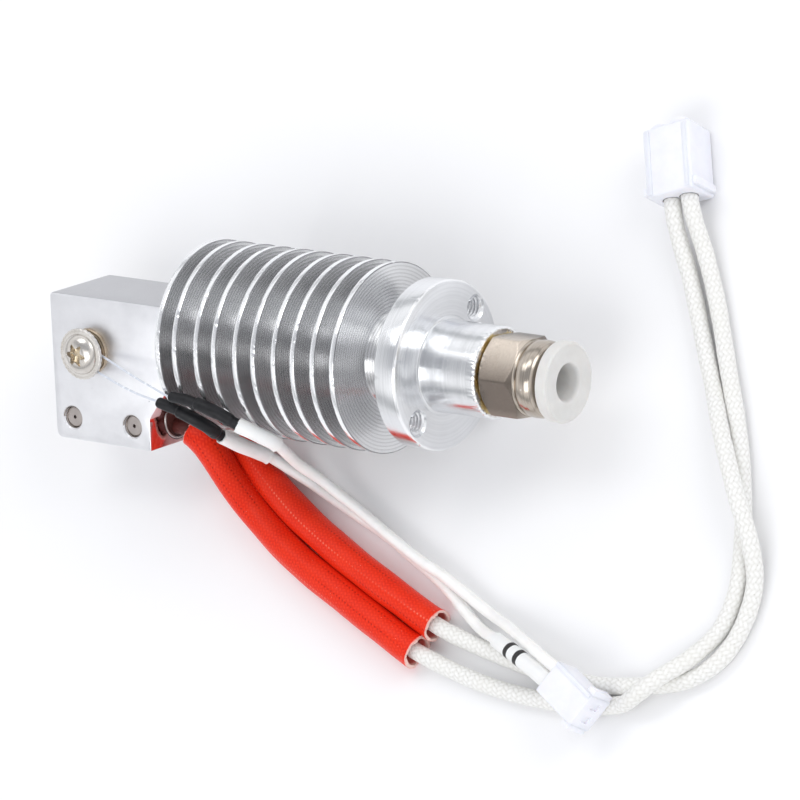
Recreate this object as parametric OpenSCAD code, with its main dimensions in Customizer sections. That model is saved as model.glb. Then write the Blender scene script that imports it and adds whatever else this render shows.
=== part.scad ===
// Direct-mount hotend with finned heatsink, push-fit tube inlet, cartridge
// heater and clamped thermistor. It lies on its fins and on one edge of the
// heater block, with its leads on the ground. Millimetres, +Z up, +X towards
// the tube inlet along the filament path.

/* [Heatsink] */
// Outside diameter of the fins
fin_d = 25; // [20:0.5:30]
// Thickness of one fin
fin_t = 0.85; // [0.6:0.05:1.5]
// Diameter of the core between the fins
core_d = 13; // [10:0.5:16]
// Chamfer on the rim of each fin
fin_chamfer = 0.15; // [0:0.05:0.3]
// Diameter of the neck behind the mounting flange
groove_d = 12; // [10:0.5:14]
// Diameter of the mounting flange
flange_d = 22.2; // [20:0.2:26]
// Thickness of the mounting flange
flange_t = 3.35; // [2:0.05:5]
// Pitch circle of the two tapped flange holes
flange_pcd = 18; // [16:0.5:20]
// Core diameter of the tapped flange holes
flange_hole_d = 2.5; // [2.4:0.1:3.2]
// Diameter of the inlet hub
hub_d = 12; // [10:0.5:14]
// Length of the inlet hub
hub_len = 8.6; // [6:0.1:12]

/* [Heater block] */
// Length of the block along the filament path
block_len = 20; // [16:0.5:24]
// Length of the block at the heater cartridge
block_foot_len = 16.5; // [14:0.5:20]
// Height of the block
block_h = 20; // [16:0.5:24]
// Depth of the block
block_d = 12; // [10:0.5:16]
// Distance from the top of the block to the filament axis
axis_drop = 4.25; // [3.8:0.05:6]
// Rounding of the long block edges
block_r = 0.5; // [0.2:0.1:1]

/* [Heater and sensor] */
// Diameter of the heater cartridge
cartridge_d = 5.96; // [5.9:0.02:6]
// Length of the heater cartridge
cartridge_len = 18; // [15:1:24]
// Diameter of one heater lead
lead_d = 2.2; // [1.6:0.1:2.6]
// Outside diameter of the lead sleeves
sleeve_d = 4; // [3:0.1:5]
// Bore of the lead sleeves
sleeve_bore = 2.9; // [2.4:0.1:3.6]
// Diameter of one sensor wire
sensor_wire_d = 1.5; // [1:0.1:2]

/* [Tube inlet] */
// Width across the flats of the fitting
hex_af = 10; // [9:0.5:12]
// Length of the hexagon
hex_len = 5.2; // [4:0.1:7]
// Diameter of the round head of the fitting
head_d = 9.9; // [9:0.1:11]
// Diameter of the release collar
collar_d = 10.5; // [9:0.1:12]
// Thickness of the release collar's rim
collar_t = 1.7; // [1:0.1:3]
// Bore of the release collar
collar_bore = 4.3; // [4.1:0.1:4.6]
// Travel of the release collar
collar_travel = 0.6; // [0.3:0.1:1]

/* [Hidden] */
$fn = 64;
eps = 0.01;

// stations along the filament path, from the outer face of the block
fin_x = [23.5, 26.3, 29.9, 32.9, 36.4, 39.4, 42.8, 45.9, 49.1, 52.3];
flange_x0 = 58.45;
flange_x1 = flange_x0 + flange_t;
hub_x1 = flange_x1 + hub_len;
hex_x1 = hub_x1 + hex_len;
head_x1 = hex_x1 + 3;
collar_x0 = head_x1 + 0.7;
collar_x1 = collar_x0 + collar_t;
nozzle_tip = -4;

// resting attitude: the origin is under the middle of the rigid body
x_mid = 38.5;
roll = 27;
axis_y = 2.13;
fin_r = fin_d / 2;

cart_y = -12.3;        // cartridge axis below the filament axis
screw_y = -12.75;      // set screws
clamp = [6.7, -3.15];  // sensor clamp screw on the front face
face_z = block_d / 2;
cart_x0 = -1.3;
cart_x1 = cart_x0 + cartridge_len;

// centre lines of the leads on the ground, resting frame
lead_f = [[-21.8,-10,6.9],[-19.8,-10.3,7],[-16.8,-11.7,6.2],[-12.8,-15.9,3.8],
  [-7.9,-19.9,2.3],[-1,-24,2.1],[7.4,-27.7,2.1],[16.4,-31.5,2.1],[21.8,-33.6,1.7],
  [28.8,-35.3,1.15],[35,-36.3,1.15],[42,-36.7,1.15],[49.5,-36.4,1.15],[54.1,-35.5,1.35],
  [55.8,-34.9,2.3],[57.4,-33.9,3.1],[59.8,-31.8,3.5],[63.5,-28.2,2.5],[66,-23.8,1.2],[66.8,-18.5,1.15],
  [66.1,-13.4,1.15],[64.9,-8.4,1.15],[63.1,-3,1.15],[60.8,2.6,1.15],[57.5,9.4,1.15],
  [53.8,17,1.15],[50.6,23,1.6],[48.4,27,2.6],[46.925,29.927,2.9]];
lead_b = [[-21.8,-7.8,6.3],[-20.3,-7.5,5.7],[-18.3,-7.6,4.5],[-16.4,-8.9,3.3],[-14.4,-10.5,2.3],
  [-11.5,-12.4,2.1],[-8.7,-14.3,2.1],[-4.5,-17,2.1],[0.7,-19.9,2.1],[8.5,-23.5,2.1],
  [17.3,-27.2,2.1],[23.9,-29.8,1.7],[29.5,-31.2,1.15],[34,-32,1.15],[40,-33,1.15],
  [48.4,-33.6,1.15],[54,-33.1,1.15],[59.8,-32,1.15],[64,-30.3,1.15],[67.2,-27.2,1.15],
  [69,-22.8,1.15],[69.3,-17.6,1.4],[67.9,-12.6,2.7],[65.4,-8,3.6],[62.4,-3.2,3.4],
  [59.6,1.2,2.8],[56.8,5.6,1.6],[53,12.2,1.15],[49,19.6,1.2],[46.8,23.6,1.8],
  [45.5,26.6,2.6],[44.576,29.071,2.9]];
sens_a = [[-15.78,-9.29,19.71],[-13.63,-9.73,18.96],[-11.49,-10.26,17.99],[-9.63,-10.91,16.37],
  [-8.98,-11.5,13.3],[-7.91,-11.85,9.3],[-6.73,-12.01,5.4],[-4.89,-12.83,2.9],[-1.98,-14.01,1.35],
  [2.85,-15.88,0.85],[7.85,-17.72,0.85],[12.78,-19.56,0.85],[16.63,-21.42,0.85],[22.59,-24.29,0.85],
  [30,-28.9,1.4],[34.5,-30.4,3],[39,-32.1,4.2],[42.6,-33.6,4.7],[45.55,-34.966,4.8]];
sens_b = [[-13.06,-8.59,20.71],[-10.66,-8.64,20.63],[-8.25,-8.94,20.31],[-5.58,-9.59,19.39],
  [-3.21,-10.42,17.75],[-0.97,-11,16.2],[0.44,-11.5,13.5],[0.37,-12.71,8.3],[1.85,-13.77,4.6],
  [4.08,-15.01,3.0],[7.41,-16.52,2.6],[14.25,-19.73,2.45],[19.23,-21.88,2.42],[23.6,-23.49,2.2],
  [31.2,-26.9,1.6],[35.7,-28.5,2.8],[40,-30.3,4],[43.7,-31.9,4.7],[46.55,-33.234,4.8]];
// fine legs of the sensor, block frame (along, up the block, out of the face)
leg_a = [[8.2,-5.2,7.05],[11.77,-5.91,8.2],[15.34,-6.43,9.35],[18.91,-6.71,10.51],[22.45,-6.81,11.66]];
leg_b = [[9.75,-3.3,7.05],[13.63,-4.03,8.33],[17.49,-4.7,9.62],[21.34,-5.29,10.9],[25.15,-5.82,12.18]];

// directions in which the leads enter the two plugs
heater_plug_way = [cos(110), sin(110), 0];
sensor_plug_way = [cos(30), -sin(30), 0];

// ---- centre-line mathematics ----
function ext(p) = concat([2*p[0]-p[1]], p, [2*p[len(p)-1]-p[len(p)-2]]);
function cr4(a, b, c, d, t) = 0.5*(2*b + (c-a)*t + (2*a-5*b+4*c-d)*t*t + (3*b-a-3*c+d)*t*t*t);
// n rings between each two route points, from route point i0 to i1
function sweep_path(p, n, i0, i1) = let(q = ext(p)) concat(
  [for (i = [i0 : i1-1]) for (k = [0 : n-1]) cr4(q[i], q[i+1], q[i+2], q[i+3], k/n)],
  [p[i1]]);
function unit(v) = v / norm(v);
function tangent(p, i, t0, t1) = i == 0 && t0 != undef ? t0 : i == len(p)-1 && t1 != undef ? t1 :
  unit(p[min(i+1, len(p)-1)] - p[max(i-1, 0)]);
// direction of a route at its point i
function way(p, i) = unit(p[i+1] - p[i-1]);
function frame_n(t, up) = unit(cross(t, up));
function ring(p, i, r, s, up, t0, t1) = let(t = tangent(p, i, t0, t1), n = frame_n(t, up), b = cross(t, n))
  [for (k = [0 : s-1]) p[i] + r*(cos(360*k/s)*n + sin(360*k/s)*b)];

// solid round cord along points p
module cord(p, r, s = 8, up = [0.1, 0.2, 1], t0 = undef, t1 = undef) {
  m = len(p);
  pts = [for (i = [0 : m-1]) each ring(p, i, r, s, up, t0, t1)];
  faces = concat(
    [[for (k = [0 : s-1]) k]],
    [[for (k = [s-1 : -1 : 0]) (m-1)*s + k]],
    [for (i = [0 : m-2]) for (k = [0 : s-1]) let(j = (k+1) % s)
      each [[i*s+k, (i+1)*s+k, (i+1)*s+j], [i*s+k, (i+1)*s+j, i*s+j]]]);
  polyhedron(pts, faces, convexity = 6);
}

// open tube along points p
module hose(p, ro, ri, s = 8, up = [0.1, 0.2, 1], t0 = undef, t1 = undef) {
  m = len(p);
  o = m*s;
  pts = concat([for (i = [0 : m-1]) each ring(p, i, ro, s, up, t0, t1)],
               [for (i = [0 : m-1]) each ring(p, i, ri, s, up, t0, t1)]);
  faces = concat(
    [for (i = [0 : m-2]) for (k = [0 : s-1]) let(j = (k+1) % s)
      each [[i*s+k, (i+1)*s+k, (i+1)*s+j], [i*s+k, (i+1)*s+j, i*s+j]]],
    [for (i = [0 : m-2]) for (k = [0 : s-1]) let(j = (k+1) % s)
      each [[o+i*s+k, o+(i+1)*s+j, o+(i+1)*s+k], [o+i*s+k, o+i*s+j, o+(i+1)*s+j]]],
    [for (k = [0 : s-1]) let(j = (k+1) % s) each [[k, j, o+j], [k, o+j, o+k]]],
    [for (k = [0 : s-1]) let(j = (k+1) % s, e = (m-1)*s)
      each [[e+k, o+e+j, e+j], [e+k, o+e+k, o+e+j]]]);
  polyhedron(pts, faces, convexity = 6);
}

// ---- placing ----
// rigid body: x along the filament path, y up the block, z out of its front face
module place() translate([-x_mid, axis_y, fin_r]) rotate([roll, 0, 0]) children();
// cylinder along x from x0 to x1
module rod(x0, x1, r, fn = 64) translate([x0, 0, 0]) rotate([0, 90, 0]) cylinder(h = x1-x0, r = r, $fn = fn);
// revolve a profile of [x, r] points about the filament axis
module turned(profile, fn = 96) rotate([0, 90, 0]) rotate([0, 0, 90])
  rotate_extrude($fn = fn) polygon([for (q = profile) [q[1], q[0]]]);

function fin_profile(x, c, r, rc, t) = [[x, rc], [x, r-c], [x+c, r], [x+t-c, r], [x+t, r-c], [x+t, rc]];

// ---- rigid parts ----
module heatsink() color([0.80, 0.81, 0.83]) place() difference() {
  turned(concat(
    [[fin_x[0], 3.5]],
    [for (x = fin_x) each fin_profile(x, fin_chamfer, fin_r, x > 52 ? groove_d/2 : core_d/2, fin_t)],
    [[flange_x0, groove_d/2], [flange_x0, flange_d/2-0.15], [flange_x0+0.15, flange_d/2],
     [flange_x1-0.25, flange_d/2], [flange_x1, flange_d/2-0.25],
     [flange_x1, hub_d/2+0.5], [flange_x1+0.5, hub_d/2], [hub_x1-0.2, hub_d/2],
     [hub_x1, hub_d/2-0.2], [hub_x1, 3], [64, 3], [64, 2.1], [36, 2.1], [36, 3.5]]));
  for (a = [-46.3, 133.7])
    rotate([a, 0, 0]) translate([flange_x0-1, flange_pcd/2, 0]) rotate([0, 90, 0])
      cylinder(h = flange_t+2, d = flange_hole_d, $fn = 48);
}

module heat_break() color([0.62, 0.62, 0.62]) place()
  turned([[8, 1.05], [8, 2.97], [20, 2.97], [20, 1.5], [23.5, 1.5], [23.5, 3.47], [35.6, 3.47],
          [35.6, 2.08], [24.2, 2.08], [24.2, 1.05]]);

module block_profile() polygon([[0, axis_drop-block_h+block_r], [block_r, axis_drop-block_h],
  [block_foot_len-block_r, axis_drop-block_h], [block_foot_len, axis_drop-block_h+block_r],
  [block_foot_len, -11.4], [block_len, -6.8],
  [block_len, axis_drop-block_r], [block_len-block_r, axis_drop], [block_r, axis_drop], [0, axis_drop-block_r]]);

module heater_block() color([0.80, 0.80, 0.81]) place() difference() {
  translate([0, 0, -block_d/2]) linear_extrude(block_d) block_profile();
  rod(-1, block_len+1, 3);
  translate([0, cart_y, 0]) rod(-1, block_len+1, 3);
  for (x = [3, 13.4]) translate([x, screw_y, 0]) cylinder(h = 10, r = 1.5, $fn = 48);
  translate([clamp[0], clamp[1], 3.05]) cylinder(h = 10, r = 1.25, $fn = 48);
}

module nozzle() color([0.78, 0.62, 0.30]) place() union() {
  turned([[nozzle_tip, 0.2], [nozzle_tip, 0.5], [-1.9, 2.5], [-1.8, 2.5], [-0.1, 2.5], [0, 2.97], [7.98, 2.97],
          [7.98, 1], [-2.6, 1], [-3.2, 0.2]]);
  difference() {
    translate([-1.8, 0, 0]) rotate([0, 90, 0]) cylinder(h = 1.7, d = 6/cos(30), $fn = 6);
    rod(-3, 1, 2.4);
  }
}

module ptfe_liner() color([0.93, 0.93, 0.90]) place()
  turned([[24.25, 1], [24.25, 2], [64.9, 2], [64.9, 1]]);

module heater_cartridge() color([0.66, 0.66, 0.66]) place() translate([0, cart_y, 0])
  turned([[cart_x0, 0], [cart_x0, cartridge_d/2-0.4], [cart_x0+0.4, cartridge_d/2],
          [cart_x1, cartridge_d/2], [cart_x1, cartridge_d/2-0.35], [cart_x1-2, cartridge_d/2-0.35], [cart_x1-2, 0]]);

module cartridge_end_seal() color([0.85, 0.83, 0.78]) place() translate([0, cart_y, 0])
  rod(cart_x1-2, cart_x1, cartridge_d/2-0.35);

module cartridge_set_screws() color([0.30, 0.30, 0.31]) place()
  for (x = [3, 13.4]) translate([x, screw_y, 0]) difference() {
    translate([0, 0, 2.98]) cylinder(h = 2.6, r = 1.48, $fn = 48);
    translate([0, 0, 4.3]) cylinder(h = 3, d = 1.5/cos(30), $fn = 6);
  }

module star_recess(r, h) union() {
  cylinder(h = h, r = r*0.72, $fn = 24);
  for (a = [0 : 60 : 300]) rotate(a) translate([r*0.76, 0, 0]) cylinder(h = h, r = r*0.24, $fn = 12);
}

module sensor_clamp_screw() color([0.72, 0.70, 0.67]) place() translate([clamp[0], clamp[1], 0]) difference() {
  rotate_extrude($fn = 64) polygon([[0, 3.1], [1.23, 3.1], [1.23, 8.1], [2.75, 8.1], [2.75, 8.5], [2.6, 9.1],
    [2.2, 9.6], [1.6, 9.9], [0, 9.9]]);
  translate([0, 0, 8.9]) star_recess(1.5, 2);
}

module washer(z, ro, ri, t) translate([clamp[0], clamp[1], z]) difference() {
  cylinder(h = t, r = ro);
  translate([0, 0, -1]) cylinder(h = t+2, r = ri);
}
module sensor_upper_washer() color([0.74, 0.72, 0.68]) place() washer(7.6, 3.5, 1.6, 0.5);
module sensor_lower_washer() color([0.70, 0.62, 0.52]) place() washer(6, 3.4, 1.6, 0.5);

// glass bead squeezed between the washers, beside the screw
module sensor_bead() color([0.78, 0.66, 0.52]) place()
  translate([clamp[0]+2.2, clamp[1]-0.4, 7.05]) rotate([90, 0, 0]) rotate_extrude($fn = 32)
    polygon([[0, -0.9], [0.3, -0.85], [0.5, -0.6], [0.54, -0.2], [0.54, 0.3], [0.45, 0.7], [0.2, 0.95], [0, 1]]);

module sensor_legs() color([0.86, 0.88, 0.92]) place() {
  cord(sweep_path(leg_a, 2, 0, len(leg_a)-1), 0.25, 6);
  cord(sweep_path(leg_b, 2, 0, len(leg_b)-1), 0.25, 6);
}

// ---- push-fit inlet ----
module fitting_body() color([0.78, 0.74, 0.66]) place() difference() {
  union() {
    turned([[65, 2.1], [65, 2.6], [65.4, 2.97], [hub_x1, 2.97], [hub_x1, 4.4], [hub_x1+0.4, 4.7], [hex_x1-0.2, 4.7],
      [hex_x1, 4.6], [hex_x1+0.3, head_d/2-0.1], [hex_x1+0.7, head_d/2], [head_x1-0.6, head_d/2],
      [head_x1-0.15, head_d/2-0.2], [head_x1, head_d/2-0.5], [head_x1, 3.6], [72.6, 3.6], [72.6, 2.1]]);
    difference() {
      translate([hub_x1+0.2, 0, 0]) rotate([0, 90, 0]) rotate([0, 0, 0]) hex_solid(hex_len-0.2);
      rod(60, 90, 4);
    }
  }
}
module hex_solid(l) rotate([0, 0, 54]) intersection() {
  cylinder(h = l, d = hex_af/cos(30), $fn = 6);
  rotate_extrude($fn = 64) polygon([[0, 0], [5.1, 0], [5.8, 0.5], [5.8, l-0.5], [5.1, l], [0, l]]);
}

module fitting_o_ring() color([0.10, 0.10, 0.10]) place()
  turned([for (a = [0 : 22.5 : 337.5]) [73.32 + 0.7*cos(a), 2.8 + 0.68*sin(a)]]);

module fitting_seat_ring() color([0.90, 0.90, 0.88]) place()
  turned([[74.1, 2.15], [74.1, 3.55], [75, 3.55], [75, 2.6]]);

module fitting_jaw_ring() color([0.72, 0.72, 0.74]) place() difference() {
  turned([[75.05, 2.75], [75.05, 3.55], [75.35, 3.55], [75.35, 2.95], [75.0+1.15, 2.3], [75.0+1.0, 2.12]]);
  for (a = [0 : 45 : 315]) rotate([a, 0, 0]) translate([75.4, 1.5, -0.15]) cube([2, 1.25, 0.3]);
}

module fitting_retainer() color([0.76, 0.64, 0.36]) place()
  turned([[75.4, 3.1], [75.4, 3.58], [head_x1, 3.58], [head_x1, 3.1]]);

module fitting_collar() color([0.88, 0.86, 0.81]) place()
  turned([[76.9, collar_bore/2], [76.9, 2.6], [77.2, 2.95], [collar_x0, 2.95], [collar_x0, collar_d/2-0.15],
    [collar_x0+0.15, collar_d/2], [collar_x1-0.35, collar_d/2], [collar_x1, collar_d/2-0.35],
    [collar_x1, collar_bore/2+0.2], [collar_x1-0.5, collar_bore/2]]);

// ---- leads and what is on them ----
module heater_lead_front() color([0.93, 0.92, 0.88]) cord(sweep_path(lead_f, 1, 0, len(lead_f)-1), lead_d/2,
  t0 = [1, 0, 0], t1 = heater_plug_way);
module heater_lead_back() color([0.93, 0.92, 0.88]) cord(sweep_path(lead_b, 1, 0, len(lead_b)-1), lead_d/2,
  t0 = [1, 0, 0], t1 = heater_plug_way);
module heater_sleeve_front() color([0.85, 0.10, 0.06]) hose(sweep_path(lead_f, 1, 1, 8), sleeve_d/2, sleeve_bore/2);
module heater_sleeve_back() color([0.85, 0.10, 0.06]) hose(sweep_path(lead_b, 1, 4, 11), sleeve_d/2, sleeve_bore/2);

module sensor_lead_front() color([0.94, 0.94, 0.92]) cord(sweep_path(sens_a, 1, 4, len(sens_a)-1), sensor_wire_d/2,
  t0 = way(sens_a, 4), t1 = sensor_plug_way);
module sensor_lead_back() color([0.94, 0.94, 0.92]) cord(sweep_path(sens_b, 1, 4, len(sens_b)-1), sensor_wire_d/2,
  t0 = way(sens_b, 4), t1 = sensor_plug_way);
module splice_sleeve_front() color([0.10, 0.10, 0.11]) cord(sweep_path(sens_a, 1, 0, 4), 0.85,
  t1 = way(sens_a, 4));
module splice_sleeve_back() color([0.10, 0.10, 0.11]) cord(sweep_path(sens_b, 1, 0, 4), 0.85, 8,
  [1, 0, 0.1], t1 = way(sens_b, 4));
module joint_sleeve_front() color([0.90, 0.90, 0.87]) hose(sweep_path(sens_a, 1, 4, 6), 1, 0.82,
  t0 = way(sens_a, 4), t1 = way(sens_a, 6));
module joint_sleeve_back() color([0.90, 0.90, 0.87]) hose(sweep_path(sens_b, 1, 4, 6), 1, 0.82,
  t0 = way(sens_b, 4), t1 = way(sens_b, 6));
module marker_sleeve() color([0.95, 0.95, 0.94]) hose(sweep_path(sens_a, 1, 15, len(sens_a)-1), 1.05, 0.82,
  t0 = way(sens_a, 15), t1 = sensor_plug_way);

// crimp housing: x from the wire end to the mating end, y across, z up
module housing(l, w, t, pitch, slot_w, slot_t, ear_x, ear_l, ear) difference() {
  union() {
    translate([0, -w/2, 0]) cube([l, w, t]);
    translate([ear_x, -w/2-ear, 0.3]) cube([ear_l, w+2*ear, t-0.6]);
  }
  for (s = [-1, 1]) {
    translate([1.2, s*pitch/2-slot_w/2, t/2-slot_t/2]) cube([l, slot_w, slot_t]);
    translate([l-1.6, s*pitch/2-slot_w/2-0.15, t/2-slot_t/2-0.25]) cube([3, slot_w+0.3, slot_t+0.5]);
  }
}
// one formed terminal inside its slot
module terminal(l, w, t) difference() {
  translate([0, -w/2, -t/2]) cube([l, w, t]);
  translate([l*0.45, -w/2+0.2, -t/2+0.2]) cube([l, w-0.4, t-0.4]);
  translate([-1, -w/2+0.2, -t/2+0.2]) cube([l*0.4+1, w-0.4, t]);
}
module at_heater_plug() translate([45.75, 29.5, 0]) rotate([0, 0, 110]) children();
module at_sensor_plug() translate([46.05, -34.1, 2.55]) rotate([0, 0, -30]) children();

module heater_plug_housing() color([0.94, 0.94, 0.95]) at_heater_plug()
  housing(9.8, 6.9, 5.75, 2.5, 1.9, 2.6, 0.4, 1.1, 0.5);
module heater_plug_contacts() color([0.80, 0.78, 0.72]) at_heater_plug()
  for (s = [-1, 1]) translate([1.3, s*1.25, 5.75/2]) terminal(6.4, 1.8, 2.4);
module sensor_plug_housing() color([0.94, 0.95, 0.98]) at_sensor_plug()
  housing(7.25, 4.8, 4.5, 2, 1.4, 2, 5.9, 1.2, 0.7);
module sensor_plug_contacts() color([0.80, 0.78, 0.72]) at_sensor_plug()
  for (s = [-1, 1]) translate([1.3, s, 2.25]) terminal(4.4, 1.3, 1.8);

heatsink();
heat_break();
heater_block();
nozzle();
ptfe_liner();
heater_cartridge();
cartridge_end_seal();
cartridge_set_screws();
sensor_clamp_screw();
sensor_upper_washer();
sensor_lower_washer();
sensor_bead();
sensor_legs();
fitting_body();
fitting_o_ring();
fitting_seat_ring();
fitting_jaw_ring();
fitting_retainer();
fitting_collar();
heater_lead_front();
heater_lead_back();
heater_sleeve_front();
heater_sleeve_back();
sensor_lead_front();
sensor_lead_back();
splice_sleeve_front();
splice_sleeve_back();
joint_sleeve_front();
joint_sleeve_back();
marker_sleeve();
heater_plug_housing();
heater_plug_contacts();
sensor_plug_housing();
sensor_plug_contacts();
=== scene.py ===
import math

import bmesh
import bpy
import numpy as np
from mathutils import Matrix, Vector


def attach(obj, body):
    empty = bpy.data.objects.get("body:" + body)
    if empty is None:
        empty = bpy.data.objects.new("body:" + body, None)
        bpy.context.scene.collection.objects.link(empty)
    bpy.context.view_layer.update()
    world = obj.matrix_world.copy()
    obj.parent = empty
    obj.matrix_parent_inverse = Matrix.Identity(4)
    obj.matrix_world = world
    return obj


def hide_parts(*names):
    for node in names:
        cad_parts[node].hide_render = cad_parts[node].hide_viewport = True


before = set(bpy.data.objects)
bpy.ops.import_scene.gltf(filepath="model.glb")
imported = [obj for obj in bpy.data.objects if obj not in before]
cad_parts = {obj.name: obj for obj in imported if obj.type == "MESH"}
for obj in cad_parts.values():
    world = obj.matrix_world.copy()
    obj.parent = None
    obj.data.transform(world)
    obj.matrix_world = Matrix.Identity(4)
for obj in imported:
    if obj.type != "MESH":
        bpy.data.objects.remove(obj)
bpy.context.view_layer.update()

rng = np.random.default_rng(11)
MM = 0.001
ROLL = math.radians(27)
CR, SR = math.cos(ROLL), math.sin(ROLL)
# block frame: x along the filament path, y up the block, z out of its front face
BLOCK = Matrix(((1, 0, 0, -0.0385), (0, CR, -SR, 0.00213), (0, SR, CR, 0.0125), (0, 0, 0, 1)))


# ------------------------------------------------------------------ camera
cam_data = bpy.data.cameras.new("camera")
cam = bpy.data.objects.new("camera", cam_data)
bpy.context.scene.collection.objects.link(cam)
cam_x, cam_y, cam_z = (0.79441, 0.24134, -0.55737), (-0.11695, 0.96127, 0.24955), (0.59602, -0.13306, 0.79187)
cam.matrix_world = Matrix((
    (cam_x[0], cam_y[0], cam_z[0], 0.427564),
    (cam_x[1], cam_y[1], cam_z[1], -0.094765),
    (cam_x[2], cam_y[2], cam_z[2], 0.557479),
    (0, 0, 0, 1)))
cam_data.sensor_width = 36
cam_data.lens = 241.2
cam_data.clip_start = 0.05
cam_data.clip_end = 20
bpy.context.scene.camera = cam
bpy.context.scene.view_settings.view_transform = "Standard"
bpy.context.scene.view_settings.look = "None"
if hasattr(bpy.context.scene, "cycles"):
    bpy.context.scene.cycles.max_bounces = 16
    bpy.context.scene.cycles.glossy_bounces = 10


# ------------------------------------------------------------------ mesh helpers
def finish_mesh(me, angle=35):
    me.validate(verbose=False)
    me.shade_smooth()
    me.set_sharp_from_angle(angle=math.radians(angle))


def add(name, V, F, mats, at=None, angle=35, attrs=None, faces_mat=None, body="hotend", stands=(), slot=None, weld=False):
    """A mesh piece: V in mm, in the frame given by at (metres)."""
    me = bpy.data.meshes.new(name)
    V = np.asarray(V, float) * MM
    F = [list(map(int, f)) for f in F]
    me.from_pydata(V.tolist(), [], F)
    for key, val in (attrs or {}).items():
        a = me.attributes.new(key, "FLOAT", "POINT")
        a.data.foreach_set("value", np.asarray(val, np.float32).ravel())
    for m in (mats if isinstance(mats, (list, tuple)) else [mats]):
        me.materials.append(m)
    if faces_mat is not None:
        me.polygons.foreach_set("material_index", np.asarray(faces_mat, np.int32))
    if weld:
        bm = bmesh.new()
        bm.from_mesh(me)
        bmesh.ops.remove_doubles(bm, verts=bm.verts, dist=1e-7)
        bm.to_mesh(me)
        bm.free()
    finish_mesh(me, angle)
    ob = bpy.data.objects.new(name, me)
    bpy.context.scene.collection.objects.link(ob)
    if at is not None:
        me.transform(at)
    if body:
        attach(ob, body)
        if stands:
            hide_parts(*stands)
    return ob


def grid_faces(m, n, wrap=True, flip=False, base=0):
    i = np.arange(m - 1)[:, None]
    k = np.arange(n if wrap else n - 1)[None, :]
    k1 = (k + 1) % n
    q = np.stack([i * n + k, i * n + k1, (i + 1) * n + k1, (i + 1) * n + k], -1).reshape(-1, 4) + base
    return q[:, ::-1] if flip else q


def revolve(prof, n=128, disp=None):
    """Profile of (station, radius) turned about x, outward normals for a profile that runs towards +x."""
    P = np.array(prof, float)
    ph = np.linspace(0, 2 * math.pi, n, endpoint=False)
    X = np.repeat(P[:, :1], n, 1)
    R = np.repeat(P[:, 1:2], n, 1)
    PH = np.repeat(ph[None, :], len(P), 0)
    if disp is not None:
        X, R = disp(X, R, PH)
    V = np.stack([X, R * np.cos(PH), R * np.sin(PH)], -1).reshape(-1, 3)
    return V, grid_faces(len(P), n)


def fillet(points, r=0.1, k=3):
    """Rounds the inner corners of an open profile."""
    P = [np.array(p, float) for p in points]
    out = [P[0]]
    for i in range(1, len(P) - 1):
        a, b, c = P[i - 1], P[i], P[i + 1]
        u, w = a - b, c - b
        lu, lw = np.linalg.norm(u), np.linalg.norm(w)
        d = min(r, lu * 0.45, lw * 0.45)
        if d < 1e-4 or lu < 1e-6 or lw < 1e-6:
            out.append(b)
            continue
        p, q = b + u / lu * d, b + w / lw * d
        for j in range(k + 1):
            t = j / k
            out.append((1 - t) ** 2 * p + 2 * t * (1 - t) * b + t * t * q)
    out.append(P[-1])
    return out


def catmull(P, n=24):
    P = np.array(P, float)
    Q = np.vstack([2 * P[0] - P[1], P, 2 * P[-1] - P[-2]])
    out = []
    for i in range(1, len(Q) - 2):
        a, b, c, d = Q[i - 1], Q[i], Q[i + 1], Q[i + 2]
        for t in np.arange(n) / n:
            out.append(0.5 * (2 * b + (c - a) * t + (2 * a - 5 * b + 4 * c - d) * t * t + (3 * b - a - 3 * c + d) * t ** 3))
    out.append(P[-1])
    return np.array(out)


def arc(P):
    return np.concatenate([[0], np.cumsum(np.linalg.norm(np.diff(P, axis=0), axis=1))])


def resample(P, step):
    s = arc(P)
    m = max(2, int(round(s[-1] / step)) + 1)
    t = np.linspace(0, s[-1], m)
    return np.stack([np.interp(t, s, P[:, i]) for i in range(3)], -1)


def transport(P, up, t0=None, t1=None):
    """Tangents and twist-free normals along a path."""
    T = np.gradient(P, axis=0)
    T /= np.linalg.norm(T, axis=1)[:, None]
    if t0 is not None:
        T[0] = t0
    if t1 is not None:
        T[-1] = t1
    Nn = np.zeros_like(P)
    v = np.array(up, float)
    for i, t in enumerate(T):
        v = v - t * (v @ t)
        v = v / np.linalg.norm(v)
        Nn[i] = v
    return T, Nn, np.cross(T, Nn)


def tube(P, r, n=24, up=(0.1, 0.2, 1), disp=None, caps=True, t0=None, t1=None, flat=None):
    """A round tube along P. disp(s, theta) is added to the radius. Returns vertices, faces."""
    T, A, B = transport(P, up, t0, t1)
    s = arc(P)
    th = np.linspace(0, 2 * math.pi, n, endpoint=False)
    Sg, Tg = np.meshgrid(s, th, indexing="ij")
    R = np.broadcast_to(np.asarray(r, float).reshape(-1, 1), Sg.shape).copy()
    if disp is not None:
        R = R + disp(Sg, Tg)
    a, b = np.cos(Tg) * R, np.sin(Tg) * R
    if flat is not None:
        a, b = a * flat[0], b * flat[1]
    V = P[:, None, :] + a[..., None] * A[:, None, :] + b[..., None] * B[:, None, :]
    V = V.reshape(-1, 3)
    m = len(P)
    F = [list(f) for f in grid_faces(m, n)]
    if caps:
        F.append(list(range(n))[::-1])
        F.append([(m - 1) * n + k for k in range(n)])
    return V, F


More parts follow.
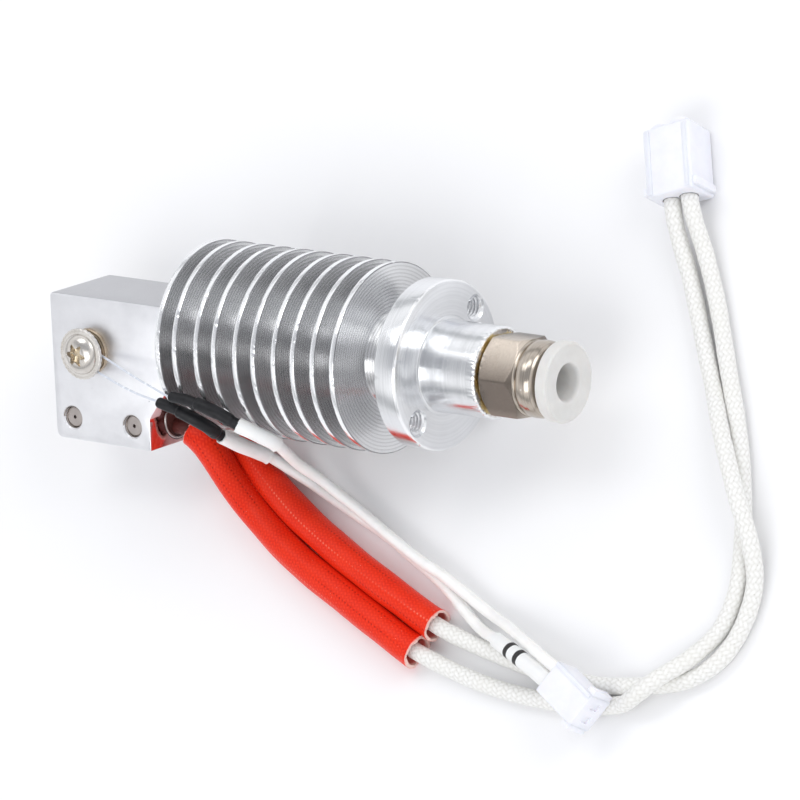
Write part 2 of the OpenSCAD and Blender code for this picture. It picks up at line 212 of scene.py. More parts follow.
def hose_mesh(P, ro, ri, n, disp=None, up=(0.1, 0.2, 1), rough=0.0, t0=None, t1=None, depth=None):
    """An open hose: outer wall, inner wall, cut rims. Returns vertices, faces, rim attribute."""
    m = len(P)
    T, A, B = transport(P, up, t0, t1)
    s = arc(P)
    th = np.linspace(0, 2 * math.pi, n, endpoint=False)
    Sg, Tg = np.meshgrid(s, th, indexing="ij")
    Ro = np.broadcast_to(np.asarray(ro, float).reshape(-1, 1), Sg.shape).copy()
    Ri = np.broadcast_to(np.asarray(ri, float).reshape(-1, 1), Sg.shape).copy()
    if disp is not None:
        Ro = Ro + disp(Sg, Tg)
    cut = np.zeros((m, n))
    if rough:
        jag0, jag1 = (rough * (np.sin(3 * th + p) * 0.5 + 0.5 * np.sin(7 * th + 2 * p) + rng.normal(0, 0.35, n)) for p in (0.4, 2.1))
        cut[0], cut[-1] = jag0, jag1
    O = P[:, None, :] + (np.cos(Tg) * Ro)[..., None] * A[:, None] + (np.sin(Tg) * Ro)[..., None] * B[:, None] + cut[..., None] * T[:, None]
    I = P[:, None, :] + (np.cos(Tg) * Ri)[..., None] * A[:, None] + (np.sin(Tg) * Ri)[..., None] * B[:, None] + cut[..., None] * T[:, None]
    W0, W1 = (O[0] + I[0]) / 2 - T[0] * 0.05, (O[-1] + I[-1]) / 2 + T[-1] * 0.05
    V = np.vstack([O.reshape(-1, 3), I.reshape(-1, 3), W0, W1])
    F = [list(f) for f in grid_faces(m, n)] + [list(f) for f in grid_faces(m, n, flip=True, base=m * n)]
    w0, w1 = 2 * m * n, 2 * m * n + n
    for k in range(n):
        j = (k + 1) % n
        F.append([k, w0 + k, w0 + j, j])
        F.append([w0 + k, m * n + k, m * n + j, w0 + j])
        e = (m - 1) * n
        F.append([e + k, e + j, w1 + j, w1 + k])
        F.append([w1 + k, w1 + j, m * n + e + j, m * n + e + k])
    rim = np.zeros(len(V))
    rim[w0:] = 1
    d = np.minimum(s, s[-1] - s)
    inner = np.clip(1 - d / 0.5, 0, 1)
    rim[m * n:2 * m * n] = np.repeat(0.25 + 0.75 * inner, n)
    rim[:m * n] = np.repeat(np.clip(1 - d / 0.07, 0, 1) * 0.8, n)
    return V, F, rim


def braid(n, lead, amp, roundness=0.6):
    """Two-over-two-under braid of n yarns each way; lead is the length of one turn of a yarn."""
    def h(s, th):
        u = n * (th / (2 * math.pi) + s / lead)
        v = n * (th / (2 * math.pi) - s / lead)
        i, j = np.floor(u), np.floor(v)
        fu, fv = u - i - 0.5, v - j - 0.5
        zu = np.cos(2 * math.pi * (v - 0.5 - i + 0.5) / 4)
        zv = -np.cos(2 * math.pi * (j - (u - 0.5) + 0.5) / 4)
        ru = np.sqrt(np.clip(1 - (2 * fu) ** 2, 0, 1))
        rv = np.sqrt(np.clip(1 - (2 * fv) ** 2, 0, 1))
        return np.maximum(zu * 0.8 + ru * roundness * 2, zv * 0.8 + rv * roundness * 2)
    def d(s, th):
        x = h(s, th)
        return amp * (x - 1.3)
    return h, d


def helix_thread(x0, x1, pitch, r_root, r_tip, n=40, width=0.85):
    """Thread ridge about x between x0 and x1."""
    turns = (x1 - x0) / pitch
    m = int(turns * n) + 1
    t = np.linspace(0, turns, m)
    a = 2 * math.pi * t
    x = x0 + pitch * t
    w = pitch * width / 2
    fade = np.clip(np.minimum(t, turns - t) / 0.4, 0, 1)
    rt = r_root + (r_tip - r_root) * fade
    rows = [(x - w, np.full(m, r_root)), (x - w * 0.12, rt), (x + w * 0.12, rt), (x + w, np.full(m, r_root))]
    V = np.stack([np.stack([xx, rr * np.cos(a), rr * np.sin(a)], -1) for xx, rr in rows], 1).reshape(-1, 3)
    F = [list(f) for f in grid_faces(m, 4, wrap=True)]
    F.append([0, 1, 2, 3])
    F.append([(m - 1) * 4 + k for k in (3, 2, 1, 0)])
    if r_tip > r_root:
        F = [f[::-1] for f in F]
    return V, F


def join(*parts):
    Vs, Fs, off = [], [], 0
    for V, F in parts:
        Vs.append(np.asarray(V))
        Fs += [[int(k) + off for k in f] for f in F]
        off += len(V)
    return np.vstack(Vs), Fs


def boolean(ob, cutters, op="DIFFERENCE"):
    mats = list(ob.data.materials)
    for c in cutters:
        m = ob.modifiers.new("cut", "BOOLEAN")
        m.operation = op
        m.solver = "EXACT"
        m.object = c
    bpy.context.view_layer.update()
    dg = bpy.context.evaluated_depsgraph_get()
    me = bpy.data.meshes.new_from_object(ob.evaluated_get(dg))
    ob.modifiers.clear()
    old = ob.data
    ob.data = me
    me.name = old.name
    if len(me.materials) == 0:
        for mt in mats:
            me.materials.append(mt)
    bpy.data.meshes.remove(old)
    for c in cutters:
        bpy.data.objects.remove(c)
    return ob


def temp(V, F, at=None):
    me = bpy.data.meshes.new("cutter")
    me.from_pydata((np.asarray(V, float) * MM).tolist(), [], [list(map(int, f)) for f in F])
    bm = bmesh.new()
    bm.from_mesh(me)
    bmesh.ops.remove_doubles(bm, verts=bm.verts, dist=1e-7)
    bmesh.ops.recalc_face_normals(bm, faces=bm.faces)
    bm.to_mesh(me)
    bm.free()
    ob = bpy.data.objects.new("cutter", me)
    bpy.context.scene.collection.objects.link(ob)
    if at is not None:
        ob.matrix_world = at
    return ob


def along_z(cx, cy, prof, n=48):
    """Solid of revolution about a line parallel to z through (cx, cy): profile of (z, r)."""
    V, F = revolve(prof, n)
    V = np.stack([cx + V[:, 1], cy + V[:, 2], V[:, 0]], -1)
    return V, F


def box_mesh(x0, x1, y0, y1, z0, z1):
    V = [(x, y, z) for x in (x0, x1) for y in (y0, y1) for z in (z0, z1)]
    F = [(0, 1, 3, 2), (4, 6, 7, 5), (0, 4, 5, 1), (2, 3, 7, 6), (0, 2, 6, 4), (1, 5, 7, 3)]
    return np.array(V, float), F


# ------------------------------------------------------------------ material helpers
def mat(name, **base):
    m = bpy.data.materials.new(name)
    m.use_nodes = True
    nt = m.node_tree
    nt.nodes.clear()
    out = nt.nodes.new("ShaderNodeOutputMaterial")
    b = nt.nodes.new("ShaderNodeBsdfPrincipled")
    nt.links.new(b.outputs[0], out.inputs[0])
    for k, v in base.items():
        b.inputs[k.replace("_", " ")].default_value = v
    return m, nt, b


def N(nt, kind, ins=None, **props):
    n = nt.nodes.new(kind)
    for k, v in props.items():
        setattr(n, k, v)
    for k, v in (ins or {}).items():
        if isinstance(v, bpy.types.NodeSocket):
            nt.links.new(v, n.inputs[k])
        else:
            n.inputs[k].default_value = v
    return n


def coords(nt, scale=1000.0):
    tc = N(nt, "ShaderNodeTexCoord")
    return N(nt, "ShaderNodeVectorMath", {0: tc.outputs["Object"], "Scale": scale}, operation="SCALE").outputs[0]


def math_(nt, op, a, b=None, c=None, clamp=False):
    ins = {0: a}
    if b is not None:
        ins[1] = b
    if c is not None:
        ins[2] = c
    n = N(nt, "ShaderNodeMath", ins, operation=op)
    n.use_clamp = clamp
    return n.outputs[0]


def noise(nt, vec, scale, detail=3.0, rough=0.5, distortion=0.0):
    return N(nt, "ShaderNodeTexNoise", {"Vector": vec, "Scale": scale, "Detail": detail, "Roughness": rough, "Distortion": distortion}).outputs["Fac"]


def remap(nt, x, a, b, c, d):
    return N(nt, "ShaderNodeMapRange", {"Value": x, "From Min": a, "From Max": b, "To Min": c, "To Max": d}).outputs[0]


def ramp(nt, fac, stops):
    n = N(nt, "ShaderNodeValToRGB", {"Fac": fac})
    el = n.color_ramp.elements
    while len(el) > 1:
        el.remove(el[0])
    el[0].position, el[0].color = stops[0][0], (*stops[0][1], 1)
    for p, c in stops[1:]:
        e = el.new(p)
        e.color = (*c, 1)
    return n.outputs["Color"]


def mixc(nt, fac, a, b):
    n = N(nt, "ShaderNodeMix", data_type="RGBA")
    for sock, v in ((n.inputs[0], fac), (n.inputs[6], a), (n.inputs[7], b)):
        if isinstance(v, bpy.types.NodeSocket):
            nt.links.new(v, sock)
        else:
            sock.default_value = v if isinstance(v, float) else (*v, 1)
    return n.outputs[2]


def bump(nt, b, height, strength, dist, normal=None):
    ins = {"Height": height, "Strength": strength, "Distance": dist}
    if normal is not None:
        ins["Normal"] = normal
    n = N(nt, "ShaderNodeBump", ins)
    nt.links.new(n.outputs[0], b.inputs["Normal"])
    return n.outputs[0]


def to(nt, out, b, name):
    nt.links.new(out, b.inputs[name])


def metal(name, dark, light, rough=(0.2, 0.3), grain=8.0, grain_bump=0.15, spots=None, aniso=0.0, coat=0.0, scratches=True):
    """A plain metal with mottled tone, fine grain, faint scratches and small pits."""
    m, nt, b = mat(name, Metallic=1.0)
    co = coords(nt)
    cloud = noise(nt, co, 0.35, 4.0, 0.6)
    fine = noise(nt, co, grain, 3.0, 0.6)
    col = mixc(nt, remap(nt, cloud, 0.3, 0.7, 0.0, 1.0), dark, light)
    height = fine
    if scratches:
        st = N(nt, "ShaderNodeVectorMath", {0: co, 1: (0.6, 14.0, 9.0)}, operation="MULTIPLY").outputs[0]
        scr = noise(nt, st, 1.0, 2.0, 0.5, 0.6)
        scr = remap(nt, scr, 0.62, 0.7, 0.0, 1.0)
        col = mixc(nt, math_(nt, "MULTIPLY", scr, 0.25), col, tuple(min(1, x * 1.12) for x in light))
        height = math_(nt, "ADD", fine, math_(nt, "MULTIPLY", scr, -0.4))
    if spots:
        vo = N(nt, "ShaderNodeTexVoronoi", {"Vector": co, "Scale": spots[0], "Randomness": 1.0})
        pit = remap(nt, vo.outputs["Distance"], spots[1], spots[1] * 1.6, 1.0, 0.0)
        keep = remap(nt, noise(nt, co, spots[0] * 0.4, 0.0), 0.52, 0.6, 0.0, 1.0)
        pit = math_(nt, "MULTIPLY", pit, keep)
        col = mixc(nt, math_(nt, "MULTIPLY", pit, 0.75), col, spots[2])
        height = math_(nt, "SUBTRACT", height, math_(nt, "MULTIPLY", pit, 1.5))
    to(nt, col, b, "Base Color")
    r = remap(nt, math_(nt, "ADD", math_(nt, "MULTIPLY", cloud, 0.6), math_(nt, "MULTIPLY", fine, 0.4)), 0.35, 0.65, rough[0], rough[1])
    to(nt, r, b, "Roughness")
    bump(nt, b, height, grain_bump, 0.00004)
    if aniso:
        b.inputs["Anisotropic"].default_value = aniso
    if coat:
        b.inputs["Coat Weight"].default_value = coat
        b.inputs["Coat Roughness"].default_value = 0.08
    return m


def turned_metal(name, dark, light, rough, lines=5.0, depth=0.5, aniso=0.6, dist=0.00003, axis=(2.13, 12.5), metallic=1.0, feed_w=0.16, soft=1.0, painted_shade=0.0):
    """Lathe-turned metal: fine rings about the x axis of the object, anisotropic gloss, mottling and specks; a shade
    value above zero paints darker upper and lower sides into the colour (painted shade).
    """
    m, nt, b = mat(name, Metallic=metallic, Anisotropic=aniso, Anisotropic_Rotation=0.25)
    tg = N(nt, "ShaderNodeTangent", direction_type="RADIAL", axis="X")
    to(nt, tg.outputs[0], b, "Tangent")
    co = coords(nt)
    off = N(nt, "ShaderNodeVectorMath", {0: co, 1: (0.0, axis[0], axis[1])}, operation="SUBTRACT").outputs[0]
    sp = N(nt, "ShaderNodeSeparateXYZ", {0: off})
    r = math_(nt, "SQRT", math_(nt, "ADD", math_(nt, "POWER", sp.outputs[1], 2.0), math_(nt, "POWER", sp.outputs[2], 2.0)))
    ring = N(nt, "ShaderNodeCombineXYZ", {0: sp.outputs[0], 1: r, 2: 0.0}).outputs[0]
    coarse = noise(nt, ring, lines, 1.0, 0.4)
    fine = noise(nt, ring, lines * 3.1, 2.0, 0.6)
    feed = math_(nt, "SINE", math_(nt, "MULTIPLY", math_(nt, "ADD", sp.outputs[0], r), lines * 5.2))
    h = math_(nt, "ADD", math_(nt, "MULTIPLY", coarse, 0.9 * soft), math_(nt, "ADD", math_(nt, "MULTIPLY", fine, 0.7 * soft), math_(nt, "MULTIPLY", feed, feed_w)))
    cloud = noise(nt, co, 0.25, 4.0, 0.6)
    f = remap(nt, math_(nt, "ADD", math_(nt, "MULTIPLY", coarse, 0.6), math_(nt, "MULTIPLY", cloud, 0.4)), 0.35, 0.65, 0.0, 1.0)
    col = mixc(nt, f, dark, light)
    if feed_w > 0.3:
        col = mixc(nt, remap(nt, feed, 0.0, 0.9, 0.0, 0.5), col, tuple(x * 0.6 for x in dark))
    vo = N(nt, "ShaderNodeTexVoronoi", {"Vector": co, "Scale": 0.55, "Randomness": 1.0})
    speck = remap(nt, vo.outputs["Distance"], 0.035, 0.06, 1.0, 0.0)
    col = mixc(nt, math_(nt, "MULTIPLY", speck, 0.55), col, (0.98, 0.98, 1.0))
    if painted_shade:
        # painted shade: the colour is darkened towards the upper and lower sides of the turned part, standing in for
        # the dark reflections there
        side = math_(nt, "DIVIDE", math_(nt, "ADD", math_(nt, "MULTIPLY", sp.outputs[1], 0.72), math_(nt, "MULTIPLY", sp.outputs[2], -0.70)), r)
        painted_side_shade = math_(nt, "MULTIPLY", math_(nt, "POWER", math_(nt, "ABSOLUTE", math_(nt, "ADD", side, 0.12)), 1.6), painted_shade * 2.0, clamp=True)
        col = mixc(nt, painted_side_shade, col, (dark[0] * 0.34, dark[1] * 0.33, dark[2] * 0.33))
    to(nt, col, b, "Base Color")
    to(nt, remap(nt, math_(nt, "ADD", math_(nt, "MULTIPLY", fine, 0.5), math_(nt, "MULTIPLY", cloud, 0.5)), 0.35, 0.65, rough[0], rough[1]), b, "Roughness")
    bump(nt, b, math_(nt, "SUBTRACT", h, math_(nt, "MULTIPLY", speck, 0.6)), depth, dist)
    return m


def plastic(name, dark, light, rough=(0.35, 0.5), sss=0.0, sss_r=(0.0006, 0.0005, 0.0004), grain=10.0, depth=0.12, coat=0.0, spec=0.5, mottling=0.4):
    m, nt, b = mat(name)
    b.inputs["Specular IOR Level"].default_value = spec
    co = coords(nt)
    cloud = noise(nt, co, mottling, 4.0, 0.55)
    fine = noise(nt, co, grain, 2.0, 0.5)
    col = mixc(nt, remap(nt, cloud, 0.32, 0.68, 0.0, 1.0), dark, light)
    vo = N(nt, "ShaderNodeTexVoronoi", {"Vector": co, "Scale": 0.9, "Randomness": 1.0})
    speck = remap(nt, vo.outputs["Distance"], 0.02, 0.035, 1.0, 0.0)
    col = mixc(nt, math_(nt, "MULTIPLY", speck, 0.25), col, tuple(x * 0.6 for x in dark))
    to(nt, col, b, "Base Color")
    to(nt, remap(nt, math_(nt, "ADD", math_(nt, "MULTIPLY", cloud, 0.5), math_(nt, "MULTIPLY", fine, 0.5)), 0.35, 0.65, rough[0], rough[1]), b, "Roughness")
    if sss:
        b.inputs["Subsurface Weight"].default_value = sss
        b.inputs["Subsurface Radius"].default_value = (1.0, 0.8, 0.65)
        b.inputs["Subsurface Scale"].default_value = sss_r[0]
    if coat:
        b.inputs["Coat Weight"].default_value = coat
        b.inputs["Coat Roughness"].default_value = 0.12
    bump(nt, b, math_(nt, "ADD", fine, math_(nt, "MULTIPLY", cloud, 0.8)), depth, 0.00005)
    return m


def attr(nt, name):
    return N(nt, "ShaderNodeAttribute", attribute_name=name).outputs["Fac"]


# ------------------------------------------------------------------ materials
# the shade value on the fins, the flange and the hexagon darkens their upper and lower sides in the colour: painted
# shade
ALU_TURNED = turned_metal("aluminium_turned", (0.935, 0.94, 0.948), (0.98, 0.983, 0.988), (0.2, 0.27), lines=2.6, depth=0.2, aniso=0.6, dist=0.00003, metallic=0.92, feed_w=0.42, soft=0.16, painted_shade=0.2)
ALU_RIM = turned_metal("aluminium_rim", (0.88, 0.885, 0.90), (0.97, 0.975, 0.985), (0.14, 0.24), lines=7.0, depth=0.25, aniso=0.4, metallic=0.9)
# dark copy of the turned aluminium for the fins' right chamfers: a painted shade line
ALU_EDGE_PAINTED_SHADE = turned_metal("aluminium_edge_painted_shade", (0.20, 0.20, 0.21), (0.36, 0.36, 0.37), (0.25, 0.35), lines=7.0, depth=0.25, aniso=0.4)
ALU_FLANGE = turned_metal("aluminium_flange", (0.80, 0.81, 0.825), (0.89, 0.90, 0.915), (0.17, 0.26), lines=4.4, depth=0.2, aniso=0.6, feed_w=0.16, soft=0.35, painted_shade=0.09)
ALU_BLOCK = metal("aluminium_block", (0.80, 0.802, 0.825), (0.865, 0.868, 0.89), rough=(0.36, 0.48), grain=14.0, grain_bump=0.35, spots=(0.55, 0.045, (0.42, 0.42, 0.44)), scratches=False)
# darker copy of the block aluminium for the block's top face: painted shade
ALU_BLOCK_TOP_PAINTED_SHADE = metal("aluminium_block_top_painted_shade", (0.52, 0.522, 0.54), (0.575, 0.577, 0.595), rough=(0.36, 0.48), grain=14.0, grain_bump=0.35, spots=(0.55, 0.045, (0.42, 0.42, 0.44)), scratches=False)
# polished foot face; its reddish tint is a painted reflection of the red sleeves
ALU_POLISHED_PAINTED_RED_REFLECTION = metal("aluminium_polished_painted_red_reflection", (0.60, 0.40, 0.40), (0.84, 0.60, 0.60), rough=(0.05, 0.14), grain=4.0, grain_bump=0.12, spots=(1.1, 0.05, (0.35, 0.3, 0.3)))
STEEL = turned_metal("steel_turned", (0.48, 0.47, 0.46), (0.62, 0.61, 0.60), (0.2, 0.34), lines=7.0, depth=0.5, aniso=0.4)
DARK_STEEL = metal("steel_dark", (0.36, 0.325, 0.31), (0.50, 0.455, 0.43), rough=(0.28, 0.42), grain=12.0, grain_bump=0.3, spots=(1.6, 0.06, (0.16, 0.13, 0.12)))
NICKEL = metal("nickel_screw", (0.56, 0.525, 0.485), (0.74, 0.71, 0.67), rough=(0.15, 0.27), grain=6.0, grain_bump=0.16, spots=(1.4, 0.05, (0.4, 0.36, 0.32)))
WASHER = metal("nickel_washer", (0.62, 0.59, 0.55), (0.78, 0.755, 0.72), rough=(0.22, 0.36), grain=9.0, grain_bump=0.3, spots=(1.8, 0.06, (0.5, 0.46, 0.42)))
WASHER_LOW = metal("washer_brown", (0.44, 0.35, 0.25), (0.62, 0.53, 0.42), rough=(0.3, 0.45), grain=7.0, grain_bump=0.35, spots=(1.5, 0.08, (0.22, 0.16, 0.1)))
CHAMPAGNE = turned_metal("nickel_plated_brass", (0.58, 0.505, 0.43), (0.72, 0.64, 0.555), (0.22, 0.34), lines=8.0, depth=0.12, aniso=0.1, painted_shade=0.72)
CHAMPAGNE_POLISHED = turned_metal("nickel_plated_polished", (0.42, 0.365, 0.31), (0.54, 0.485, 0.42), (0.15, 0.24), lines=5.0, depth=0.12, aniso=0.3)
SHELL = turned_metal("cartridge_steel", (0.34, 0.30, 0.29), (0.46, 0.42, 0.41), (0.2, 0.34), lines=6.0, depth=0.4, aniso=0.4, axis=(2.13 - 12.3 * CR, 12.5 - 12.3 * SR))
BRASS = turned_metal("brass", (0.62, 0.46, 0.2), (0.78, 0.61, 0.31), (0.16, 0.3), lines=6.0, depth=0.3, aniso=0.35)
TINNED = metal("tinned_brass", (0.62, 0.58, 0.5), (0.78, 0.75, 0.68), rough=(0.2, 0.35), grain=7.0, grain_bump=0.3)
RECESS = metal("nickel_recess", (0.50, 0.40, 0.27), (0.74, 0.64, 0.48), rough=(0.18, 0.32), grain=5.0, grain_bump=0.4, spots=(1.6, 0.08, (0.2, 0.14, 0.08)))
LINER = plastic("liner_plastic", (0.80, 0.79, 0.75), (0.88, 0.87, 0.84), rough=(0.3, 0.42), sss=0.2)
CREAM = plastic("cream_plastic", (0.67, 0.66, 0.64), (0.73, 0.72, 0.70), rough=(0.3, 0.42), sss=0.25, grain=7.0, depth=0.1)
NYLON = plastic("white_nylon", (0.83, 0.835, 0.90), (0.88, 0.885, 0.94), rough=(0.3, 0.42), sss=0.25, grain=5.0, depth=0.14)
RUBBER = plastic("black_rubber", (0.012, 0.012, 0.013), (0.025, 0.025, 0.026), rough=(0.5, 0.65), spec=0.35)
SHRINK = plastic("black_shrink", (0.006, 0.0062, 0.0075), (0.015, 0.0152, 0.018), rough=(0.34, 0.5), grain=3.2, depth=0.5, spec=0.28, mottling=0.8)
SEAL = plastic("ceramic_seal", (0.07, 0.022, 0.018), (0.17, 0.05, 0.04), rough=(0.4, 0.6), grain=5.0, depth=0.7)
BEAD = plastic("bead_glass", (0.5, 0.34, 0.2), (0.72, 0.58, 0.4), rough=(0.12, 0.25), sss=0.15, grain=4.0, depth=0.2, coat=0.4)
WIRE = plastic("white_insulation", (0.88, 0.875, 0.86), (0.94, 0.935, 0.92), rough=(0.3, 0.42), sss=0.15, grain=3.0, depth=0.18, mottling=0.6)
JOINT = plastic("white_joint_sleeve", (0.90, 0.90, 0.88), (0.95, 0.95, 0.935), rough=(0.28, 0.4), sss=0.2, grain=4.0, depth=0.3, mottling=0.7)
MARKER = plastic("white_marker_sleeve", (0.87, 0.87, 0.86), (0.92, 0.92, 0.91), rough=(0.3, 0.42), sss=0.15, grain=5.0, depth=0.15)
INK = plastic("black_marking", (0.012, 0.011, 0.011), (0.03, 0.028, 0.027), rough=(0.4, 0.6), grain=6.0, depth=0.3)


def leg_material():
    m, nt, b = mat("leg_insulation", Roughness=0.18, IOR=1.45)
    co = coords(nt)
    cloud = noise(nt, co, 1.2, 3.0, 0.5)
    to(nt, mixc(nt, remap(nt, cloud, 0.3, 0.7, 0.0, 1.0), (0.72, 0.77, 0.86), (0.84, 0.87, 0.93)), b, "Base Color")
    b.inputs["Transmission Weight"].default_value = 0.1
    b.inputs["Coat Weight"].default_value = 0.0
    to(nt, remap(nt, cloud, 0.3, 0.7, 0.14, 0.3), b, "Roughness")
    bump(nt, b, noise(nt, co, 5.0, 2.0), 0.1, 0.00001)
    return m


def braid_material():
    """Glass-fibre yarns: pale crowns, grey-green hollows painted as shade, fine fibre lines, and painted dark shade on
    the first millimetres of the lead.
    """
    m, nt, b = mat("glass_braid", Roughness=0.5)
    co = coords(nt)
    h = attr(nt, "crown")
    cloud = noise(nt, co, 0.22, 4.0, 0.6)
    fine = noise(nt, co, 9.0, 3.0, 0.6)
    # painted shade: the ramp darkens the yarn hollows and lightens the crowns
    c = ramp(nt, h, [(0.0, (0.40, 0.385, 0.35)), (0.35, (0.66, 0.65, 0.615)), (0.7, (0.82, 0.815, 0.79)), (1.0, (0.92, 0.92, 0.905))])
    c = mixc(nt, remap(nt, cloud, 0.35, 0.7, 0.0, 0.35), c, (0.78, 0.765, 0.70))
    c = mixc(nt, math_(nt, "MULTIPLY", remap(nt, fine, 0.35, 0.7, 0.0, 1.0), 0.25), c, (0.95, 0.95, 0.94))
    # painted shade: the lead's first 5.4 mm, where it leaves the cartridge, is coloured nearly black-red
    c = mixc(nt, attr(nt, "stub_painted_shade"), c, (0.09, 0.018, 0.014))
    to(nt, c, b, "Base Color")
    to(nt, remap(nt, fine, 0.3, 0.7, 0.35, 0.6), b, "Roughness")
    to(nt, remap(nt, attr(nt, "stub_painted_shade"), 0.0, 1.0, 0.25, 0.0), b, "Sheen Weight")
    b.inputs["Sheen Roughness"].default_value = 0.4
    b.inputs["Specular IOR Level"].default_value = 0.5
    bump(nt, b, math_(nt, "ADD", fine, math_(nt, "MULTIPLY", h, 0.6)), 0.45, 0.00005)
    return m


def red_material():
    """Silicone-coated glass braid: deep red hollows painted as shade, orange-red crowns, pale and dark dots along rows
    painted as highlight and shade, pale cut rim, tiny bright flecks.
    """
    m, nt, b = mat("red_sleeving", Roughness=0.34)
    co = coords(nt)
    h = attr(nt, "crown")
    rim = attr(nt, "rim")
    cloud = noise(nt, co, 0.3, 4.0, 0.6)
    fine = noise(nt, co, 7.0, 3.0, 0.6)
    # painted shade: the ramp darkens the yarn hollows
    c = ramp(nt, h, [(0.0, (0.50, 0.009, 0.003)), (0.4, (0.69, 0.019, 0.005)), (0.75, (0.78, 0.027, 0.008)), (1.0, (0.86, 0.042, 0.013))])
    c = mixc(nt, remap(nt, cloud, 0.35, 0.7, 0.0, 0.3), c, (0.88, 0.052, 0.013))
    # painted highlight and painted shade: pale and dark dots along the dimple rows
    dimple_rows_painted_light = attr(nt, "dimple_rows_painted_light")
    c = mixc(nt, math_(nt, "MULTIPLY", dimple_rows_painted_light, 0.8, clamp=True), c, (0.96, 0.30, 0.20))
    c = mixc(nt, math_(nt, "MULTIPLY", dimple_rows_painted_light, -0.85, clamp=True), c, (0.20, 0.004, 0.006))
    vo = N(nt, "ShaderNodeTexVoronoi", {"Vector": co, "Scale": 1.6, "Randomness": 1.0})
    fleck = remap(nt, vo.outputs["Distance"], 0.06, 0.1, 1.0, 0.0)
    keep = remap(nt, noise(nt, co, 0.9, 1.0), 0.55, 0.62, 0.0, 1.0)
    fleck = math_(nt, "MULTIPLY", fleck, keep)
    c = mixc(nt, math_(nt, "MULTIPLY", fleck, 0.6), c, (0.95, 0.42, 0.33))
    c = mixc(nt, rim, c, (0.88, 0.62, 0.56))
    to(nt, c, b, "Base Color")
    to(nt, remap(nt, fine, 0.3, 0.7, 0.26, 0.42), b, "Roughness")
    b.inputs["Specular IOR Level"].default_value = 0.16
    bump(nt, b, math_(nt, "ADD", math_(nt, "MULTIPLY", fine, 0.5), math_(nt, "ADD", math_(nt, "MULTIPLY", h, 0.6), fleck)), 0.3, 0.00006)
    return m


LEG = leg_material()
GLASS_BRAID = braid_material()
RED = red_material()


# ------------------------------------------------------------------ cord routes, mm in the shared frame
LEAD_F = [(-21.8, -10, 6.9), (-19.8, -10.3, 7), (-16.8, -11.7, 6.2), (-12.8, -15.9, 3.8),
          (-7.9, -19.9, 2.3), (-1, -24, 2.1), (7.4, -27.7, 2.1), (16.4, -31.5, 2.1), (21.8, -33.6, 1.7),
          (28.8, -35.3, 1.15), (35, -36.3, 1.15), (42, -36.7, 1.15), (49.5, -36.4, 1.15), (54.1, -35.5, 1.35),
          (55.8, -34.9, 2.3), (57.4, -33.9, 3.1), (59.8, -31.8, 3.5), (63.5, -28.2, 2.5), (66, -23.8, 1.2), (66.8, -18.5, 1.15),
          (66.1, -13.4, 1.15), (64.9, -8.4, 1.15), (63.1, -3, 1.15), (60.8, 2.6, 1.15), (57.5, 9.4, 1.15),
          (53.8, 17, 1.15), (50.6, 23, 1.6), (48.4, 27, 2.6), (46.925, 29.927, 2.9)]
LEAD_B = [(-21.8, -7.8, 6.3), (-20.3, -7.5, 5.7), (-18.3, -7.6, 4.5), (-16.4, -8.9, 3.3), (-14.4, -10.5, 2.3),
          (-11.5, -12.4, 2.1), (-8.7, -14.3, 2.1), (-4.5, -17, 2.1), (0.7, -19.9, 2.1), (8.5, -23.5, 2.1),
          (17.3, -27.2, 2.1), (23.9, -29.8, 1.7), (29.5, -31.2, 1.15), (34, -32, 1.15), (40, -33, 1.15),
          (48.4, -33.6, 1.15), (54, -33.1, 1.15), (59.8, -32, 1.15), (64, -30.3, 1.15), (67.2, -27.2, 1.15),
          (69, -22.8, 1.15), (69.3, -17.6, 1.4), (67.9, -12.6, 2.7), (65.4, -8, 3.6), (62.4, -3.2, 3.4),
          (59.6, 1.2, 2.8), (56.8, 5.6, 1.6), (53, 12.2, 1.15), (49, 19.6, 1.2), (46.8, 23.6, 1.8),
          (45.5, 26.6, 2.6), (44.576, 29.071, 2.9)]
SENS_A = [(-15.78, -9.29, 19.71), (-13.63, -9.73, 18.96), (-11.49, -10.26, 17.99), (-9.63, -10.91, 16.37),
          (-8.98, -11.5, 13.3), (-7.91, -11.85, 9.3), (-6.73, -12.01, 5.4), (-4.89, -12.83, 2.9), (-1.98, -14.01, 1.35),
          (2.85, -15.88, 0.85), (7.85, -17.72, 0.85), (12.78, -19.56, 0.85), (16.63, -21.42, 0.85), (22.59, -24.29, 0.85),
          (30, -28.9, 1.4), (34.5, -30.4, 3), (39, -32.1, 4.2), (42.6, -33.6, 4.7), (45.55, -34.966, 4.8)]
SENS_B = [(-13.06, -8.59, 20.71), (-10.66, -8.64, 20.63), (-8.25, -8.94, 20.31), (-5.58, -9.59, 19.39),
          (-3.21, -10.42, 17.75), (-0.97, -11, 16.2), (0.44, -11.5, 13.5), (0.37, -12.71, 8.3), (1.85, -13.77, 4.6),
          (4.08, -15.01, 3.0), (7.41, -16.52, 2.6), (14.25, -19.73, 2.45), (19.23, -21.88, 2.42), (23.6, -23.49, 2.2),
          (31.2, -26.9, 1.6), (35.7, -28.5, 2.8), (40, -30.3, 4), (43.7, -31.9, 4.7), (46.55, -33.234, 4.8)]
HEATER_WAY = np.array([math.cos(math.radians(110)), math.sin(math.radians(110)), 0])
SENSOR_WAY = np.array([math.cos(math.radians(30)), -math.sin(math.radians(30)), 0])
K = 24


def stretch(P, i0, i1):
    return P[i0 * K:i1 * K + 1]


